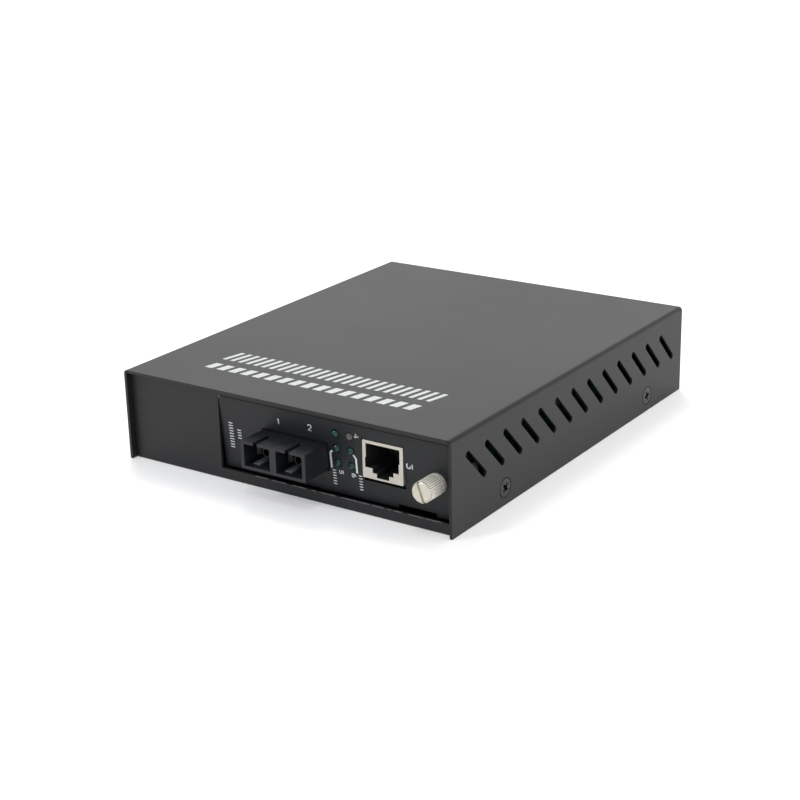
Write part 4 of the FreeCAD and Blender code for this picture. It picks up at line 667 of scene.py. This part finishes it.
def add_small_parts(prefix, body, top, places, part):
    """Two-ended parts on a board, as one piece of their bodies and one of their ends."""
    body_size, end_size, end_distance = part
    bodies = bmesh.new()
    ends = bmesh.new()

    def block(bm, x, y, turned, shift, size):
        half_x, half_y, height = [value * MM for value in size]
        if turned:
            half_x, half_y = half_y, half_x
            y += shift * MM
        else:
            x += shift * MM
        cuboid(bm, (x - half_x, y - half_y, top), (x + half_x, y + half_y, top + height))

    for x, y, turned in places:
        block(bodies, x, y, turned, 0, body_size)
        for sign in (-1, 1):
            block(ends, x, y, turned, sign * end_distance, end_size)
    add(prefix + "_small_parts", bodies, body, "chip_black")
    add(prefix + "_small_ends", ends, body, "can_metal")


def make_card_details():
    """Leads and corner marks of the card's chips, and its small surface-mount parts."""
    leads = bmesh.new()
    for node, count, sides, reach, width, shoulder in CHIP_LEADS:
        gull_leads(leads, node, count, sides, reach * MM, width * MM, shoulder)
    add("chip_leads", leads, "card", "plated_brass")

    marks = bmesh.new()
    for node, inset in CORNER_MARKS:
        low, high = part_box(node)
        turned_solid(marks, (low[0] + inset * MM, high[1] - inset * MM),
                     [(CORNER_MARK_RADIUS, high[2] + rise) for rise in CORNER_MARK_RISE], CORNER_MARK_SIDES)
    add("chip_corner_marks", marks, "card", "chip_black", INK)

    keep_out = [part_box(name) for name in CARD_OBSTACLES] + islands("card_capacitors")
    places = scatter((BOARD_LOW, BOARD_HIGH), keep_out, CARD_PARTS, CARD_SEED)
    add_small_parts("card", "card", BOARD_TOP, places, CARD_PART)


def make_solder():
    """Solder cones under the card's through-hole parts."""
    spots = []
    for low, high in islands("card_power_pins"):
        spots.append((middle_of(low, high)[0], low[1] + PLUG_PIN))
    for low, high in islands("card_capacitors"):
        x, y = middle_of(low, high)
        spots += [(x - CAPACITOR_PIN, y), (x + CAPACITOR_PIN, y)]
    low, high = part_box("transceiver_body")
    for row in (low[0] + TRANSCEIVER_ROW, high[0] - TRANSCEIVER_ROW):
        for index in range(TRANSCEIVER_PINS):
            spots.append((row, low[1] + (index + TRANSCEIVER_START) * TRANSCEIVER_PITCH))
    low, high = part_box("jack_insert")
    for index in range(JACK_PINS):
        spots.append((low[0] + (JACK_FIRST_PIN[0] + index * JACK_PIN_STEP[0]) * MM,
                      high[1] - (JACK_FIRST_PIN[1] + index % 2 * JACK_PIN_STEP[1]) * MM))
    solder = bmesh.new()
    cone = [(radius * MM, BOARD_BOTTOM + z * MM) for radius, z in SOLDER_CONE]
    for spot in spots:
        turned_solid(solder, spot, cone, SOLDER_SIDES)
    add("card_solder", solder, "card", "can_metal")


def make_can_tops():
    """Bare metal tops with raised crosses on the electrolytic capacitors."""
    for node, body in CAPACITORS:
        tops = bmesh.new()
        for low, high in islands(node):
            x, y = middle_of(low, high)
            radius = (high[0] - low[0]) / 2
            level = high[2]
            turned_solid(tops, (x, y), [(radius * CAN_TOP_SHARE, level + rise) for rise in CAN_TOP_RISE],
                         ROUND_SIDES)
            for turn in CROSS_TURNS:
                along = Vector((math.cos(turn), math.sin(turn))) * radius * CROSS_SHARE
                points = [(x - along.x, y - along.y), (x + along.x, y + along.y)]
                prism(tops, stroke(points, CROSS_WIDTH), Matrix.Translation((0, 0, level + CROSS_START)),
                      CROSS_HEIGHT)
        add("tops_of_" + node, tops, body, "can_metal")


def make_supply_details():
    """Small parts on the supply board, and the fuse's end caps."""
    keep_out = [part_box(name) for name in SUPPLY_OBSTACLES]
    keep_out += islands("output_capacitors") + islands("supply_screws")
    places = scatter(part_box("supply_board"), keep_out, SUPPLY_PARTS, SUPPLY_SEED)
    add_small_parts("supply", "case", SUPPLY_TOP, places, SUPPLY_PART)

    low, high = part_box("fuse")
    radius = (high[0] - low[0]) / 2 + FUSE_CAP_LIFT
    x, z = (low[0] + high[0]) / 2, (low[2] + high[2]) / 2
    turns = [2 * math.pi * k / ROUND_SIDES for k in range(ROUND_SIDES)]
    ring = [(radius * math.cos(turn), radius * math.sin(turn)) for turn in turns]
    caps = bmesh.new()
    for start in (low[1], high[1] - FUSE_CAP_LENGTH):
        lay = Matrix(((1, 0, 0, x), (0, 0, 1, start), (0, 1, 0, z), (0, 0, 0, 1)))
        prism(caps, ring, lay, FUSE_CAP_LENGTH)
    add("fuse_caps", caps, "case", "plated_brass")


# ---------------------------------------------------------------- ports and thumbscrew

PORT_FLOOR = 0.95 * MM
RIB_ACROSS = (3.6 * MM, 0.9 * MM)       # from its port's middle, to the left
RIB_ALONG = (2.6 * MM, 8.3 * MM)        # behind the receptacle's front
RIB_SUNK = 0.05 * MM
RIB_HEIGHT = 0.35 * MM

THREAD_RADIUS = 1.5 * MM
THREAD_LENGTH = 6.0 * MM
THREAD_PITCH = 0.5 * MM
THREAD_STEPS = 20                       # in a turn
THREAD_SHORTER = 0.8                    # turns left out, so that the ridge stays on the shank
THREAD_START = 0.2 * MM
THREAD_PROFILE = ((-0.05, -0.2), (0.16, 0.0), (-0.05, 0.2))     # height over the shank and place along it


def make_port_ribs():
    """A low rib on the floor of each receptacle port, much paler than the port's plastic: painted light, a
    patch of light on the port's floor.
    """
    bm = bmesh.new()
    floor = SC_LOW.z + PORT_FLOOR
    for low, high in islands("sc_sleeves"):
        middle = middle_of(low, high)[0]
        cuboid(bm, (middle - RIB_ACROSS[0], SC_LOW.y + RIB_ALONG[0], floor - RIB_SUNK),
               (middle - RIB_ACROSS[1], SC_LOW.y + RIB_ALONG[1], floor + RIB_HEIGHT))
    add("port_ribs", bm, "card", "port_plastic", PORT_RIB_PAINTED_LIGHT)


def make_thread():
    """The thumbscrew's thread as one helical ridge round its shank."""
    bm = bmesh.new()
    start = KNOB_HIGH.y - THREAD_LENGTH + THREAD_START
    turns = THREAD_LENGTH / THREAD_PITCH - THREAD_SHORTER
    rings = []
    for k in range(int(turns * THREAD_STEPS)):
        angle = 2 * math.pi * k / THREAD_STEPS
        y = start + THREAD_PITCH * k / THREAD_STEPS
        ring = []
        for lift, shift in THREAD_PROFILE:
            reach = THREAD_RADIUS + lift * MM
            ring.append(bm.verts.new((KNOB_X + reach * math.cos(angle), y + shift * MM,
                                      KNOB_Z + reach * math.sin(angle))))
        rings.append(ring)
    corners = len(THREAD_PROFILE)
    for one, two in zip(rings, rings[1:]):
        for k in range(corners):
            following = (k + 1) % corners
            bm.faces.new((one[k], one[following], two[following], two[k]))
    bm.faces.new(rings[0])
    bm.faces.new(rings[-1][::-1])
    add("thumbscrew_thread", bm, "thumbscrew", "nickel")


# ---------------------------------------------------------------- floor, light and camera

FLOOR_REACH = 6.0
FLOOR_COLOUR = (0.66, 0.635, 0.612)
FLOOR_GLOW = 0.3

FRONT_SKY = 0.82
BACK_SKY = 1.43
CEILING = 0.8
RIGHT_SKY = 1.5
FRONT_TO_BACK = (-0.5, 0.7)     # the sky changes between these values of a direction's y, x and z
LEFT_TO_RIGHT = (-0.2, 0.8)
HORIZON_TO_CEILING = (0.30, 0.62)
FRONT_CAST = (0.86, 0.95, 1.07)
BACK_CAST = (1.0, 1.0, 0.97)
# Slope to the right and to the back from straight above, power, and angle in degrees.
KEYS = ((-0.4, 0.45, 1.25, 20), (0.25, -0.4, 0.4, 10), (-0.6, -0.8, 0.6, 7))

# The camera fitted to the photograph: degrees, then metres; the focal length and sensor are in millimetres.
AZIMUTH = 34.475
ELEVATION = 19.857
ROLL = -1.357
DISTANCE = 0.58402
TARGET = Vector((0.006748, -0.020302, 0.016))
SENSOR_WIDTH = 36
FOCAL_LENGTH = 76.69
CLIP_START = 0.01


def make_stage():
    """A plain pale floor."""
    bm = bmesh.new()
    bm.faces.new([bm.verts.new((x * FLOOR_REACH, y * FLOOR_REACH, 0))
                  for x, y in ((-1, -1), (1, -1), (1, 1), (-1, 1))])
    floor = bpy.data.objects.new("floor", finish_mesh(bm, "floor"))
    bpy.context.scene.collection.objects.link(floor)
    material, _, _, shader = new_material("pale_floor")
    shader.inputs["Base Color"].default_value = (*FLOOR_COLOUR, 1)
    shader.inputs["Emission Color"].default_value = (1, 1, 1, 1)
    shader.inputs["Emission Strength"].default_value = FLOOR_GLOW
    shader.inputs["Roughness"].default_value = 0.9
    shader.inputs["Specular IOR Level"].default_value = 0.0
    floor.data.materials.append(material)


def make_world():
    """A white sweep round the horizon, brighter behind and on the right, under a dimmer ceiling."""
    world = bpy.data.worlds.new("studio")
    bpy.context.scene.world = world
    world.use_nodes = True
    nodes = world.node_tree.nodes
    links = world.node_tree.links
    axes = split(nodes, links, nodes.new("ShaderNodeTexCoord").outputs["Generated"])
    backwards = spread(nodes, links, axes["Y"], 0, 1, *FRONT_TO_BACK)
    around = spread(nodes, links, backwards, FRONT_SKY, BACK_SKY, 0, 1)
    right = spread(nodes, links, axes["X"], 1.0, RIGHT_SKY, *LEFT_TO_RIGHT)
    above = spread(nodes, links, axes["Z"], 1.0, CEILING, *HORIZON_TO_CEILING)
    strength = multiplied(nodes, links, multiplied(nodes, links, around, above), right)
    background = nodes["Background"]
    cast = tint(nodes, links, backwards, FRONT_CAST, BACK_CAST, 0.0, 1.0)
    links.new(cast, background.inputs["Color"])
    links.new(strength, background.inputs["Strength"])


def make_keys():
    """Three distant soft lights."""
    for index, (across, behind, power, angle) in enumerate(KEYS):
        data = bpy.data.lights.new("key_%d" % index, "SUN")
        data.energy = power
        data.angle = math.radians(angle)
        lamp = bpy.data.objects.new("key_%d" % index, data)
        bpy.context.scene.collection.objects.link(lamp)
        lamp.rotation_euler = Vector((-across, -behind, -1)).to_track_quat("-Z", "Y").to_euler()


def make_camera():
    """The photograph's view."""
    azimuth, elevation, roll = math.radians(AZIMUTH), math.radians(ELEVATION), math.radians(ROLL)
    back = Vector((math.sin(azimuth) * math.cos(elevation), -math.cos(azimuth) * math.cos(elevation),
                   math.sin(elevation)))
    right = (-back).cross(Vector((0, 0, 1))).normalized()
    up = right.cross(-back)
    rolled_right = right * math.cos(roll) + up * math.sin(roll)
    rolled_up = -right * math.sin(roll) + up * math.cos(roll)
    data = bpy.data.cameras.new("view")
    data.sensor_width = SENSOR_WIDTH
    data.lens = FOCAL_LENGTH
    data.clip_start = CLIP_START
    camera = bpy.data.objects.new("view", data)
    bpy.context.scene.collection.objects.link(camera)
    camera.matrix_world = axes_matrix((rolled_right, rolled_up, back), TARGET + back * DISTANCE)
    bpy.context.scene.camera = camera


bpy.context.scene.view_settings.view_transform = "Standard"
make_camera()
make_stage()
make_world()
make_keys()
finish_nodes()
make_plate_marks()
make_top_marks()
make_sill_line_and_worn_corner()
make_card_details()
make_port_ribs()
make_solder()
make_can_tops()
make_supply_details()
make_thread()
